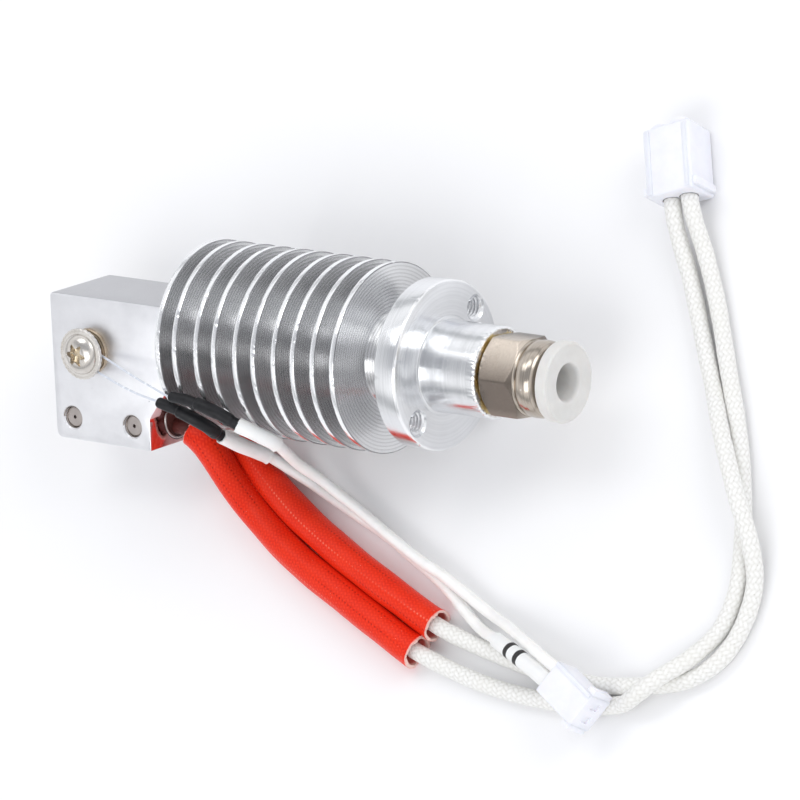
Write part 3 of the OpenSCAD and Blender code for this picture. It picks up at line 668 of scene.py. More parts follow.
# ------------------------------------------------------------------ heater leads
def glass_lead(name, route, node, seed):
    P = catmull(route, K)
    P[:, 2] = np.maximum(P[:, 2], 1.12)
    P = resample(P, 0.105)
    h, d = braid(10, 8.0, 0.034)
    w = np.random.default_rng(seed).uniform(0, 6.28, 3)

    def disp(s, th):
        wave = 0.018 * np.sin(s * 0.9 + w[0]) + 0.014 * np.sin(s * 2.3 + 2 * th + w[1])
        return d(s, th) + wave + 0.012 * np.sin(th * 3 + s * 0.35 + w[2])
    V, F = tube(P, 1.1, 44, disp=disp, t0=(1, 0, 0), t1=HEATER_WAY)
    s = arc(P)
    Sg, Tg = np.meshgrid(s, np.linspace(0, 2 * math.pi, 44, endpoint=False), indexing="ij")
    crown = np.clip((h(Sg, Tg) - 0.2) / 1.8, 0, 1).ravel()
    # painted shade mask on the lead's first 5.4 mm
    stub_shade = np.clip((5.4 - Sg) / 0.6, 0, 1).ravel()
    ob = add(name, V, F, GLASS_BRAID, angle=80, attrs={"crown": crown, "stub_painted_shade": stub_shade}, stands=(node,), slot="glass_braid")
    return ob, P, s[-1]


heater_f, path_f, len_f = glass_lead("heater_cord_front", LEAD_F, "heater_lead_front", 1)
heater_b, path_b, len_b = glass_lead("heater_cord_back", LEAD_B, "heater_lead_back", 2)


# red sleeves over the heater leads
def red_sleeve(name, route, i0, i1, node, phase):
    P = catmull(route, K)
    P[:, 2] = np.maximum(P[:, 2], 1.12)
    P = resample(stretch(P, i0, i1), 0.131)[7 if i0 == 1 else 0:]
    h, d = braid(26, 14.0, 0.013)
    s = arc(P)
    L = s[-1]
    seg = 132

    def dimple_rows_painted_light(s_, th):
        """Rows of small dimples along the sleeve; in the colour some rows are painted highlights and some painted
        shade.
        """
        out = np.zeros_like(s_)
        for k, a in enumerate((0.5, 1.25, 2.3, 3.4, 4.3, 5.2, 5.85)):
            dth = np.angle(np.exp(1j * (th - a - phase - 0.1 * np.sin(s_ * 0.13 + k))))
            gate = 0.35 + 0.65 * np.clip(1.6 * np.sin(s_ * 0.21 + 2.1 * k) + 0.5, 0, 1)
            out += (1 if k % 2 else -1) * gate * np.exp(-(dth / 0.038) ** 2) * np.clip(1.3 * np.cos(s_ * 2 * math.pi / 0.6 + k), 0, 1)
        return out

    def disp(s_, th):
        dots = np.abs(dimple_rows_painted_light(s_, th))
        slow = 0.045 * np.sin(2 * (th - phase) + 0.09 * s_) + 0.03 * np.sin(3 * th + 0.31 * s_ + phase) + 0.025 * np.sin(s_ * 0.7 + phase * 3)
        lip = 0.13 * np.exp(-((L - s_) / 0.9) ** 2) - 0.10 * np.exp(-(s_ / 1.0) ** 2)
        return d(s_, th) - 0.05 * dots + slow + lip
    ri = np.interp(L - s, [0, 1.2, 2.5], [1.86, 1.80, 1.55])
    V, F, rim = hose_mesh(P, 2.14, ri, seg, disp=disp, rough=0.16)
    Sg, Tg = np.meshgrid(s, np.linspace(0, 2 * math.pi, seg, endpoint=False), indexing="ij")
    crown = np.clip((h(Sg, Tg) - 0.2) / 1.8, 0, 1).ravel()
    full = np.full(len(V), 0.5)
    full[:len(crown)] = crown
    marks = np.zeros(len(V))
    marks[:len(crown)] = dimple_rows_painted_light(Sg, Tg).ravel()
    return add(name, V, F, RED, angle=70, attrs={"crown": full, "rim": rim, "dimple_rows_painted_light": marks}, stands=(node,), slot="red_sleeving")


red_f = red_sleeve("red_sleeve_front", LEAD_F, 1, 8, "heater_sleeve_front", 0.0)
red_b = red_sleeve("red_sleeve_back", LEAD_B, 4, 11, "heater_sleeve_back", 1.3)


# ------------------------------------------------------------------ sensor wires and what is on them
def wire(name, route, i0, node, seed):
    P = stretch(catmull(route, K), i0, len(route) - 1).copy()
    P[:, 2] = np.maximum(P[:, 2], 0.78)
    P = resample(P, 0.3)
    w = np.random.default_rng(seed).uniform(0, 6.28, 4)

    def disp(s, th):
        return 0.010 * np.sin(s * 1.1 + w[0]) + 0.008 * np.sin(s * 3.7 + th + w[1]) + 0.010 * np.sin(2 * th + s * 0.25 + w[2])
    V, F = tube(P, 0.75, 32, disp=disp, t1=SENSOR_WAY)
    ob = add(name, V, F, WIRE, angle=60, stands=(node,), slot="white_insulation")
    return ob, P, arc(P)[-1]


sens_a, path_a, len_a = wire("sensor_cord_front", SENS_A, 4, "sensor_lead_front", 3)
sens_b, path_b2, len_b2 = wire("sensor_cord_back", SENS_B, 4, "sensor_lead_back", 4)


def splice(name, route, i1, node, step_at, seed):
    """Black shrink tube: a thin first part, a thicker second one slid over it, a shrunk neck at its end."""
    P = resample(stretch(catmull(route, K), 0, i1), 0.09)
    s = arc(P)
    L = s[-1]
    r = np.where(s < step_at, 0.73, 0.90)
    r = np.where(np.abs(s - step_at) < 0.12, 0.73 + 0.17 * (s - step_at + 0.12) / 0.24, r)
    r = r - 0.14 * np.clip((s - (L - 1.1)) / 0.25, 0, 1)
    ends = np.sqrt(np.clip(1 - ((0.5 - s) / 0.5) ** 2, 0.0, 1))
    r = np.where(s < 0.5, r * (0.45 + 0.55 * ends), r)
    w = np.random.default_rng(seed).uniform(0, 6.28, 4)

    def disp(s_, th):
        crease = 0.03 * np.exp(-((s_ - step_at - 0.5) / 0.12) ** 2) + 0.025 * np.exp(-((s_ - L + 1.9) / 0.1) ** 2)
        return 0.022 * np.sin(s_ * 1.7 + w[0]) + 0.02 * np.sin(2 * th + s_ * 0.6 + w[1]) + 0.012 * np.sin(5 * th + s_ * 2.3 + w[2]) - crease
    V, F = tube(P, r, 36, disp=disp)
    return add(name, V, F, SHRINK, angle=50, stands=(node,), slot="black_shrink")


splice_f = splice("splice_tube_front", SENS_A, 4, "splice_sleeve_front", 3.2, 5)
splice_b = splice("splice_tube_back", SENS_B, 4, "splice_sleeve_back", 4.4, 6)


def joint_tube(name, route, i0, i1, node, seed):
    P = resample(stretch(catmull(route, K), i0, i1), 0.12)
    s = arc(P)
    L = s[-1]
    w = np.random.default_rng(seed).uniform(0, 6.28, 4)

    def disp(s_, th):
        lip = 0.07 * np.exp(-((L - s_) / 0.25) ** 2)
        return 0.016 * np.sin(s_ * 1.3 + w[0]) + 0.03 * np.sin(2 * th + w[1]) + 0.01 * np.sin(4 * th + s_ * 1.9) + lip
    V, F, rim = hose_mesh(P, 1.03, 0.84, 40, disp=disp, rough=0.05)
    return add(name, V, F, JOINT, angle=50, stands=(node,), slot="white_insulation")


joint_f = joint_tube("joint_tube_front", SENS_A, 4, 6, "joint_sleeve_front", 7)
joint_b = joint_tube("joint_tube_back", SENS_B, 4, 6, "joint_sleeve_back", 8)


def marker():
    P = resample(stretch(catmull(SENS_A, K), 15, len(SENS_A) - 1), 0.1)
    w = rng.uniform(0, 6.28, 4)

    def disp(s_, th):
        return 0.012 * np.sin(s_ * 0.9 + w[0]) + 0.02 * np.sin(2 * th + w[1])
    V, F, rim = hose_mesh(P, 1.05, 0.86, 40, disp=disp, rough=0.04, t1=SENSOR_WAY)
    ob = add("marker_tube", V, F, MARKER, angle=50, stands=("marker_sleeve",), slot="white_insulation")
    s = arc(P)
    bands = []
    for i, (a, b) in enumerate(((3.2, 3.95), (5.3, 6.05))):
        keep = (s >= a) & (s <= b)
        Q = P[keep]
        Q = resample(Q, 0.08)
        V, F, rim = hose_mesh(Q, 1.082, 1.0, 40, disp=lambda s_, th, o=a: disp(s_ + o, th), rough=0.015)
        bands.append(add(f"marker_band_{i + 1}", V, F, INK, angle=50, slot="black_shrink"))
    return ob, bands


marker_tube, marker_bands = marker()


# ------------------------------------------------------------------ plugs
def bevelled(V, F, width, segments=2):
    """A closed solid with rounded edges, as vertices and faces."""
    bm = bmesh.new()
    vs = [bm.verts.new(v) for v in np.asarray(V, float)]
    for f in F:
        bm.faces.new([vs[k] for k in f])
    bmesh.ops.recalc_face_normals(bm, faces=bm.faces)
    edges = [e for e in bm.edges if len(e.link_faces) == 2 and e.calc_face_angle() > 0.6]
    bmesh.ops.bevel(bm, geom=edges, offset=width, offset_type="OFFSET", segments=segments, profile=0.5, affect="EDGES", clamp_overlap=True)
    bm.verts.ensure_lookup_table()
    bm.verts.index_update()
    out = np.array([v.co[:] for v in bm.verts]), [[v.index for v in f.verts] for f in bm.faces]
    bm.free()
    return out


def prism(outline, z0, z1):
    """Upright prism over a plan outline."""
    n = len(outline)
    V = [(x, y, z0) for x, y in outline] + [(x, y, z1) for x, y in outline]
    F = [list(range(n))[::-1], [n + k for k in range(n)]] + [[k, (k + 1) % n, n + (k + 1) % n, n + k] for k in range(n)]
    return np.array(V, float), F


def rod_x(x0, x1, y, z, r, n=28, taper=0.0):
    V, F = revolve([(x0, 0), (x0, r + taper), (x1, r), (x1, 0)], n)
    V = V + np.array([0, y, z])
    return V, F


def plug(name, mw, node, body, cuts, extras):
    """A moulded housing: a rounded body with wire holes cut in it, and the moulded-on ribs and bosses."""
    V, F = bevelled(*body)
    ob = add(name, V, F, NYLON, at=mw, stands=(node,), slot="white_nylon")
    boolean(ob, [temp(*c, at=mw) for c in cuts])
    bm = bmesh.new()
    bm.from_mesh(ob.data)
    inv = mw
    for e in extras:
        V, F = bevelled(*e)
        vs = [bm.verts.new(inv @ (Vector(v) * MM)) for v in V]
        for f in F:
            bm.faces.new([vs[k] for k in f])
    bmesh.ops.triangulate(bm, faces=[f for f in bm.faces if len(f.verts) > 4])
    bm.to_mesh(ob.data)
    bm.free()
    finish_mesh(ob.data, 42)
    return ob


def at_plug(x, y, z, deg):
    return Matrix.Translation(Vector((x, y, z)) * MM) @ Matrix.Rotation(math.radians(deg), 4, "Z")


def bump_outline(x, y, r, w, n=9):
    """Plan outline of a rounded bump that stands out of a wall at x."""
    t = np.linspace(-math.pi / 2, math.pi / 2, n)
    return [(x - w, y - r)] + [(x + math.cos(a) * r * 0.75, y + math.sin(a) * r) for a in t] + [(x - w, y + r)]


HP = at_plug(45.75, 29.5, 0, 110)
SP = at_plug(46.05, -34.1, 2.55, -30)
pl, pw, pt = 9.8, 6.9, 5.75
heater_plug = plug(
    "heater_plug", HP, "heater_plug_housing",
    body=(*prism([(0, -pw / 2), (pl - 0.5, -pw / 2), (pl - 0.5, pw / 2), (0, pw / 2)], 0.0, pt), 0.42, 4),
    cuts=[rod_x(-1, 1.5, s * 1.25, 2.9, 1.16, taper=0.14) for s in (-1, 1)],
    extras=[(*box_mesh(0.4, 1.5, -pw / 2 - 0.5, -pw / 2 + 0.6, 0.4, pt - 0.25), 0.16, 2),
            (*box_mesh(0.4, 1.5, pw / 2 - 0.6, pw / 2 + 0.5, 0.4, pt - 0.25), 0.16, 2),
            (*box_mesh(0.25, pl - 0.9, -pw / 2 + 0.45, -pw / 2 + 1.05, pt - 0.5, pt + 0.10), 0.08, 2),
            (*box_mesh(0.25, pl - 0.9, pw / 2 - 1.05, pw / 2 - 0.45, pt - 0.5, pt + 0.10), 0.08, 2),
            (*prism(bump_outline(pl - 0.7, -1.55, 1.5, 1.0), 0.5, pt - 0.6), 0.22, 2),
            (*prism(bump_outline(pl - 0.8, 1.6, 1.45, 1.0), 0.5, pt - 0.9), 0.22, 2)])
pl, pw, pt = 7.25, 4.8, 4.5
sensor_plug = plug(
    "sensor_plug", SP, "sensor_plug_housing",
    body=(*prism([(0, -pw / 2), (pl, -pw / 2), (pl, pw / 2), (0, pw / 2)], 0.0, pt), 0.26, 3),
    cuts=[rod_x(-1, 1.3, s, 2.25, 0.82 if s > 0 else 0.95, taper=0.1) for s in (-1, 1)]
    + [box_mesh(pl - 0.22, pl + 1, s - 0.5, s + 0.5, 1.5, 3.0) for s in (-1, 1)],
    extras=[(*box_mesh(5.9, 7.15, -pw / 2 - 0.7, -pw / 2 + 0.5, 0.3, pt - 0.2), 0.16, 2),
            (*box_mesh(5.9, 7.15, pw / 2 - 0.5, pw / 2 + 0.7, 0.3, pt - 0.2), 0.16, 2),
            (*box_mesh(0.2, pl - 0.2, pw / 2 - 0.62, pw / 2 - 0.1, pt - 0.5, pt + 0.16), 0.08, 2)])

for node, m, s in (("heater_plug_contacts", TINNED, "tinned_brass"), ("sensor_plug_contacts", TINNED, "tinned_brass"),
                   ("ptfe_liner", LINER, "liner_plastic"), ("fitting_o_ring", RUBBER, "black_rubber"),
                   ("fitting_seat_ring", LINER, "liner_plastic"), ("fitting_jaw_ring", STEEL, "steel"),
                   ("fitting_retainer", BRASS, "brass")):
    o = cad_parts[node]
    o.data.materials.clear()
    o.data.materials.append(m)


# ------------------------------------------------------------------ heatsink
FIN_X = [23.5, 26.3, 29.9, 32.9, 36.4, 39.4, 42.8, 45.9, 49.1, 52.3]
FT, FR = 0.85, 12.5


def heatsink():
    prof, rim = [], []

    def put(x, r, flag=0):
        prof.append((x, r))
        rim.append(flag)
    put(23.5, 3.5)
    for i, x in enumerate(FIN_X):
        rc = 6.0 if x > 52 else 6.5
        if i:
            put(x - 0.18, rc)
            put(x - 0.05, rc + 0.05)
            put(x, rc + 0.18)
        for r in (8.0, 10.0, 11.6):
            put(x, r)
        put(x, FR - 0.17, 1)
        put(x + 0.03, FR - 0.10, 2)
        put(x + 0.10, FR - 0.03, 2)
        put(x + 0.17, FR, 2)
        put(x + 0.36, FR + 0.004, 2)
        put(x + 0.55, FR, 2)
        put(x + 0.68, FR - 0.004, 2)
        put(x + FT - 0.07, FR - 0.03, 2)
        put(x + FT, FR - 0.15, 1)
        for r in (11.6, 10.0, 8.0):
            put(x + FT, r)
        rc = 6.0 if x > 52 else 6.5
        put(x + FT, rc + 0.18)
        put(x + FT + 0.05, rc + 0.05)
        put(x + FT + 0.18, rc)
    put(58.5, 6.0)
    put(58.5, 2.1)
    put(36, 2.1)
    put(36, 3.5)
    put(23.5, 3.5)
    rim = np.array(rim)
    n = 432
    nick = []
    for i in range(10):
        angs = [math.radians(88) + rng.uniform(-0.05, 0.05)] + list(rng.uniform(0, 6.28, 9)) + list(rng.uniform(0.9, 2.4, 3))
        for a in angs:
            nick.append((i, a, rng.uniform(0.03, 0.10), rng.uniform(0.010, 0.024), rng.uniform(-0.03, 0.03)))

    def disp(X, R, PH):
        X, R = X.copy(), R.copy()
        for i, a, dep, wid, sh in nick:
            rows = np.where((np.abs(X[:, 0] - FIN_X[i] - FT / 2) < 0.5) & (rim == 2))[0]
            side = rows[:3] if sh < 0 else rows[-3:]
            dth = np.angle(np.exp(1j * (PH[0] - a)))
            g = np.exp(-(dth / wid) ** 2)
            for rr in side:
                R[rr] -= dep * g
            X[side[0]] += sh * g
        for i, x in enumerate(FIN_X):
            rows = np.where((np.abs(X[:, 0] - x - FT / 2) < 0.5) & (R[:, 0] > 9))[0]
            p = rng.uniform(0, 6.28, 3)
            for rr in rows:
                f = min(1.0, (R[rr, 0] - 7) / 5.5)
                X[rr] += f * (0.012 * np.sin(PH[0] + p[0]) + 0.007 * np.sin(2 * PH[0] + p[1]))
            for rr in np.where((np.abs(X[:, 0] - x - FT / 2) < 0.6) & (rim > 0))[0]:
                R[rr] += 0.006 * np.sin(19 * PH[0] + p[2]) * np.sin(7 * PH[0] + p[0]) + 0.004 * rng.normal(0, 1, n) * (rim[rr] == 2)
        return X, R
    V, F = revolve(prof, n, disp)
    fm = np.zeros(len(F), np.int32)
    m = len(prof)
    for r in range(m - 1):
        if rim[r] > 0 and rim[r + 1] > 0:
            # the right chamfer of each fin rim gets the dark edge material: a painted shade line
            fm[r * n:(r + 1) * n] = 2 if rim[r] == 2 and rim[r + 1] == 1 else 1
    return add("heatsink_fins", V, F, [ALU_TURNED, ALU_RIM, ALU_EDGE_PAINTED_SHADE], at=BLOCK, angle=28, faces_mat=fm, stands=("heatsink",), slot="turned_aluminium")


fins = heatsink()


def flange():
    prof = [(58.45, 2.1), (58.45, 5.85), (58.45, 8.0), (58.45, 10.0), (58.45, 10.85), (58.5, 10.98), (58.62, 11.08), (58.8, 11.1),
            (60.1, 11.105), (61.45, 11.1), (61.62, 11.06), (61.74, 10.97), (61.8, 10.84), (61.8, 9.0), (61.8, 7.2),
            (61.8, 6.52), (61.76, 6.48), (61.76, 6.40), (61.8, 6.36), (61.81, 6.25), (61.9, 6.08), (62.1, 6.0), (64, 6.0), (66.5, 6.0), (69.0, 6.0),
            (69.9, 6.0), (70.15, 5.99), (70.3, 5.95), (70.42, 5.86), (70.45, 5.72), (70.4, 5.55), (70.38, 5.2), (70.38, 4.4), (70.4, 3.35), (70.2, 3.1),
            (69.9, 3.0), (64, 3.0), (64, 2.1), (58.45, 2.1)]
    P = np.array(prof)
    burr = (P[:, 0] > 70.1) & (P[:, 1] > 5.4)
    rim = (P[:, 1] > 10.9)

    def disp(X, R, PH):
        X, R = X.copy(), R.copy()
        n = X.shape[1]
        jag = np.convolve(rng.normal(0, 1, n + 4), [0.2, 0.5, 0.6, 0.5, 0.2], "valid")
        jag2 = np.convolve(rng.normal(0, 1, n + 4), [0.2, 0.5, 0.6, 0.5, 0.2], "valid")
        for r in np.where(burr)[0]:
            R[r] += 0.028 * jag
            X[r] += 0.04 * np.abs(jag2)
        for r in np.where(rim)[0]:
            R[r] += 0.004 * np.sin(23 * PH[0])
        for a in rng.uniform(0, 6.28, 22):
            g = np.exp(-(np.angle(np.exp(1j * (PH[0] - a))) / 0.02) ** 2)
            r = rng.choice([5, 6, 10, 11, 12])
            R[r] -= 0.07 * g
        return X, R
    n = 540
    V, F = revolve(prof, n, disp)
    V, F = np.asarray(V), [list(f) for f in F]
    fm = np.zeros(len(F), np.int32)
    for r in range(len(prof) - 1):
        q = (P[r] + P[r + 1]) / 2
        # rim and hub-end burr faces get the lighter, glossier rim aluminium: a smoother finish and a painted highlight
        # line
        if (q[1] > 10.88 and 61.4 < q[0]) or (q[1] > 5.5 and q[0] > 70.1):
            fm[r * n:(r + 1) * n] = 1
    ob = add("heatsink_flange", V, F, [ALU_FLANGE, ALU_RIM], at=BLOCK, angle=28, faces_mat=fm, stands=("heatsink",), slot="turned_aluminium", weld=True)
    holes = []
    for deg in (-46.3, 133.7):
        cy, cz = 9 * math.cos(math.radians(deg)), 9 * math.sin(math.radians(deg))
        cv, cf = revolve([(57.6, 0), (57.6, 1.72), (58.42, 1.72), (58.62, 1.5), (61.5, 1.5), (61.84, 1.86), (62.4, 1.86), (62.4, 0)], 64)
        holes.append(temp(cv + np.array([0, cy, cz]), cf, at=BLOCK))
    boolean(ob, holes)
    finish_mesh(ob.data, 28)
    for i, deg in enumerate((-46.3, 133.7)):
        cy, cz = 9 * math.cos(math.radians(deg)), 9 * math.sin(math.radians(deg))
        tv, tf = helix_thread(58.55, 61.62, 0.5, 1.53, 1.24, 48)
        add(f"flange_thread_{i + 1}", tv, tf, ALU_RIM, at=BLOCK @ Matrix.Translation((0, cy * MM, cz * MM)), angle=50, slot="turned_aluminium")
    return ob


flange_ob = flange()


# heat break: smooth neck between block and heatsink; its threaded ends are plain cylinders here
def heat_break():
    prof = fillet([(8, 1.05), (8, 2.7), (8.3, 2.92), (19.6, 2.92), (20.1, 2.6), (20.35, 1.62), (20.7, 1.5), (22.9, 1.5), (23.2, 1.65), (23.45, 3.2), (23.5, 3.42), (35.3, 3.42), (35.6, 3.2), (35.6, 2.08), (24.2, 2.08), (24.2, 1.05), (8, 1.05)], 0.08)
    return add("heat_break_tube", *revolve(prof, 96), STEEL, at=BLOCK, angle=30, stands=("heat_break",), slot="steel")


heat_break()


# ------------------------------------------------------------------ heater block
def block():
    top, bot = 4.25, -15.75
    pts = [(0, bot), (16.5, bot), (16.5, -11.4), (20, -6.8), (20, top), (0, top)]
    rad = [1.15, 0.12, 0.5, 0.5, 0.6, 0.7]
    out = []
    n = len(pts)
    for i in range(n):
        a, b, c = (np.array(pts[(i + k - 1) % n], float) for k in range(3))
        u, w = (a - b) / np.linalg.norm(a - b), (c - b) / np.linalg.norm(c - b)
        p, q = b + u * rad[i], b + w * rad[i]
        for j in range(7):
            t = j / 6
            out.append((1 - t) ** 2 * p + 2 * t * (1 - t) * b + t * t * q)
    out = np.array(out)
    m = len(out)
    rows = []
    for z, inset in ((-6, 0.22), (-5.93, 0.09), (-5.78, 0.0), (-2, 0), (2, 0), (5.78, 0.0), (5.93, 0.07), (6, 0.2)):
        cen = np.array([9.5, -6.0])
        # inset along the outward direction of the outline
        tang = np.roll(out, -1, 0) - np.roll(out, 1, 0)
        nor = np.stack([tang[:, 1], -tang[:, 0]], -1)
        nor /= np.linalg.norm(nor, axis=1)[:, None] + 1e-12
        rows.append(np.column_stack([out - nor * inset, np.full(m, z)]))
    V = np.vstack(rows)
    F = [[r * m + k, r * m + (k + 1) % m, (r + 1) * m + (k + 1) % m, (r + 1) * m + k] for r in range(len(rows) - 1) for k in range(m)]
    F.append(list(range(m))[::-1])
    F.append([(len(rows) - 1) * m + k for k in range(m)])
    ob = add("block_body", V, F, [ALU_BLOCK, ALU_POLISHED_PAINTED_RED_REFLECTION, ALU_BLOCK_TOP_PAINTED_SHADE], at=BLOCK, angle=30, stands=("heater_block",), slot="block_aluminium")
    cutters = []
    cv, cf = revolve([(-1, 0), (-1, 3.4), (-0.02, 3.4), (0.35, 3.0), (19.7, 3.0), (20.02, 3.35), (21, 3.35), (21, 0)], 64)
    cutters.append(temp(cv, cf, at=BLOCK))
    cv, cf = revolve([(-2, 0), (-2, 3.3), (-0.02, 3.3), (0.25, 3.02), (21, 3.02), (21, 0)], 64)
    cutters.append(temp(cv + np.array([0, -12.3, 0]), cf, at=BLOCK))
    for x in (3, 13.4):
        cutters.append(temp(*along_z(x, -12.75, [(2.0, 0), (2.0, 1.5), (5.78, 1.5), (6.03, 1.72), (7, 1.72), (7, 0)]), at=BLOCK))
    cutters.append(temp(*along_z(6.7, -3.15, [(2.5, 0), (2.5, 1.25), (5.8, 1.25), (6.03, 1.45), (7, 1.45), (7, 0)]), at=BLOCK))
    boolean(ob, cutters)
    me = ob.data
    finish_mesh(me, 30)
    for p in me.polygons:
        c, nn = (BLOCK.inverted() @ p.center) / MM, BLOCK.to_3x3().inverted() @ p.normal
        # the foot face gets the polished aluminium with a painted red reflection; the top face gets the darker copy as
        # painted shade
        p.material_index = 1 if (c.x > 16.0 and c.y < -6.7 and nn.x > 0.5) else 2 if nn.y > 0.8 else 0
    return ob


block_ob = block()


def cartridge():
    z = -12.3
    prof = fillet([(-1.3, 0.0), (-1.3, 2.4), (-1.2, 2.62), (-0.9, 2.94), (16.4, 2.98), (16.62, 2.9), (16.7, 2.62), (16.3, 2.58), (16.3, 0)], 0.12)
    V, F = revolve(prof, 96)
    V = V + np.array([0, z, 0])
    add("cartridge_shell", V, F, [SHELL], at=BLOCK, angle=30, stands=("heater_cartridge",), slot="steel", weld=True)
    ph = np.linspace(0, 2 * math.pi, 72, endpoint=False)
    rs = np.linspace(0.0, 2.6, 14)
    rows = []
    for r in rs:
        x = 16.5 + 0.12 * (1 - (r / 2.6) ** 2) + 0.035 * np.sin(5 * ph + r * 3) * (r / 2.6) + rng.normal(0, 0.012, 72)
        rows.append(np.stack([x, r * np.cos(ph) + z, r * np.sin(ph)], -1))
    V = np.vstack(rows)
    F = [f[::-1] for f in grid_faces(14, 72).tolist()]
    back = len(V)
    V = np.vstack([V, np.stack([np.full(72, 15.0), 2.6 * np.cos(ph) + z, 2.6 * np.sin(ph)], -1)])
    for k in range(72):
        j = (k + 1) % 72
        F.append([13 * 72 + k, back + k, back + j, 13 * 72 + j][::-1])
    F.append([back + k for k in range(72)])
    add("cartridge_potting", V, F, SEAL, at=BLOCK, angle=60, stands=("cartridge_end_seal",), slot="ceramic_seal", weld=True)


cartridge()


def polar_head(zs_outer, recess, floor_z, n=144, rings_floor=5, steps=3, R=2.75):
    """Round head with a shaped recess: recess(theta) is its outline, zs_outer the (r, z) dome outside it."""
    th = np.linspace(0, 2 * math.pi, n, endpoint=False)
    rr = recess(th)
    rows = []
    for i in range(rings_floor):
        f = i / (rings_floor - 1)
        rows.append((rr * 0.84 * f, np.full(n, floor_z) - 0.18 * (1 - f) ** 0.5 * 0.6))
    for f, z in ((0.90, 0.12), (0.95, 0.55), (0.985, 0.85)):
        top = np.interp(rr, [p[0] for p in zs_outer], [p[1] for p in zs_outer])
        rows.append((rr * f, floor_z + (top - floor_z) * z))
    top = np.interp(rr, [p[0] for p in zs_outer], [p[1] for p in zs_outer])
    rows.append((rr * 1.03, top - 0.015))
    start = rr * 1.03
    for r, z in zs_outer:
        if r <= 1.0:
            continue
        t = (r - 1.0) / (R - 1.0)
        q = start * (1 - min(1, t * 1.15)) + r * min(1, t * 1.15)
        q = np.maximum(q, start + 0.01)
        zz = np.interp(q, [p[0] for p in zs_outer], [p[1] for p in zs_outer]) if r < R - 0.02 else np.full(n, z)
        rows.append((np.where(r < R - 0.02, q, r), zz))
    V = np.vstack([np.stack([r * np.cos(th), r * np.sin(th), z], -1) for r, z in rows])
    F = [f[::-1] for f in grid_faces(len(rows), n).tolist()]
    return V, F, len(rows)


def clamp_screw():
    here = BLOCK @ Matrix.Translation((6.7 * MM, -3.15 * MM, 0))
    dome = [(0.0, 9.14), (1.0, 9.13), (1.35, 9.10), (1.7, 9.03), (2.0, 8.92), (2.25, 8.78), (2.45, 8.60), (2.6, 8.43), (2.7, 8.28), (2.75, 8.19), (2.75, 8.13)]
    n = 144

    def star(t):
        return 1.20 + 0.33 * np.cos(6 * t + 0.5) + 0.05 * np.cos(12 * t + 1.0)
    V, F, m = polar_head(dome, star, 8.32, n)
    th = np.linspace(0, 2 * math.pi, n, endpoint=False)
    extra = [(2.68, 8.105), (1.35, 8.1), (1.23, 8.0), (1.23, 3.2), (1.0, 3.05), (0.0, 3.05)]
    base = len(V)
    V = np.vstack([V] + [np.stack([r * np.cos(th), r * np.sin(th), np.full(n, z)], -1) for r, z in extra])
    F += [f[::-1] for f in grid_faces(len(extra) + 1, n, base=base - n).tolist()]
    fm = np.zeros(len(F), np.int32)
    fm[:n * 5] = 1
    add("clamp_screw", V, F, [NICKEL, RECESS], at=here, angle=32, faces_mat=fm, stands=("sensor_clamp_screw",), slot="nickel_steel", weld=True)

    def ring(name, z0, z1, ro, ri, material, node, slot, teeth=0, amp=0.0, wav=0.0):
        k = 240
        t = np.linspace(0, 2 * math.pi, k, endpoint=False)
        edge = ro + amp * np.sign(np.sin(teeth * t)) * np.abs(np.sin(teeth * t)) ** 0.5 if teeth else np.full(k, ro)
        lift = wav * np.sin(2 * t + 0.6)
        c = 0.09
        rows = [(np.full(k, ri + 0.04), z0), (edge - c, z0), (edge - 0.02, z0 + c * 0.5), (edge, (z0 + z1) / 2), (edge - 0.02, z1 - c * 0.5), (edge - c, z1),
                (edge - 0.24, z1), (edge - 0.28, z1 - 0.06), (edge - 0.36, z1 - 0.06), (edge - 0.41, z1), (np.full(k, ri + 0.5), z1), (np.full(k, ri + 0.08), z1 - 0.01), (np.full(k, ri), z1 - 0.09), (np.full(k, ri), z0 + 0.06), (np.full(k, ri + 0.04), z0)]
        VV = np.vstack([np.stack([r * np.cos(t), r * np.sin(t), z + lift], -1) for r, z in rows])
        add(name, VV, grid_faces(len(rows), k), material, at=here, angle=30, stands=(node,), slot=slot, weld=True)
    ring("washer_upper", 7.6, 8.1, 3.46, 1.6, WASHER, "sensor_upper_washer", "nickel_steel", teeth=30, amp=0.035)
    ring("washer_lower", 6.0, 6.5, 3.12, 1.6, WASHER_LOW, "sensor_lower_washer", "nickel_steel", teeth=9, amp=0.03)


clamp_screw()


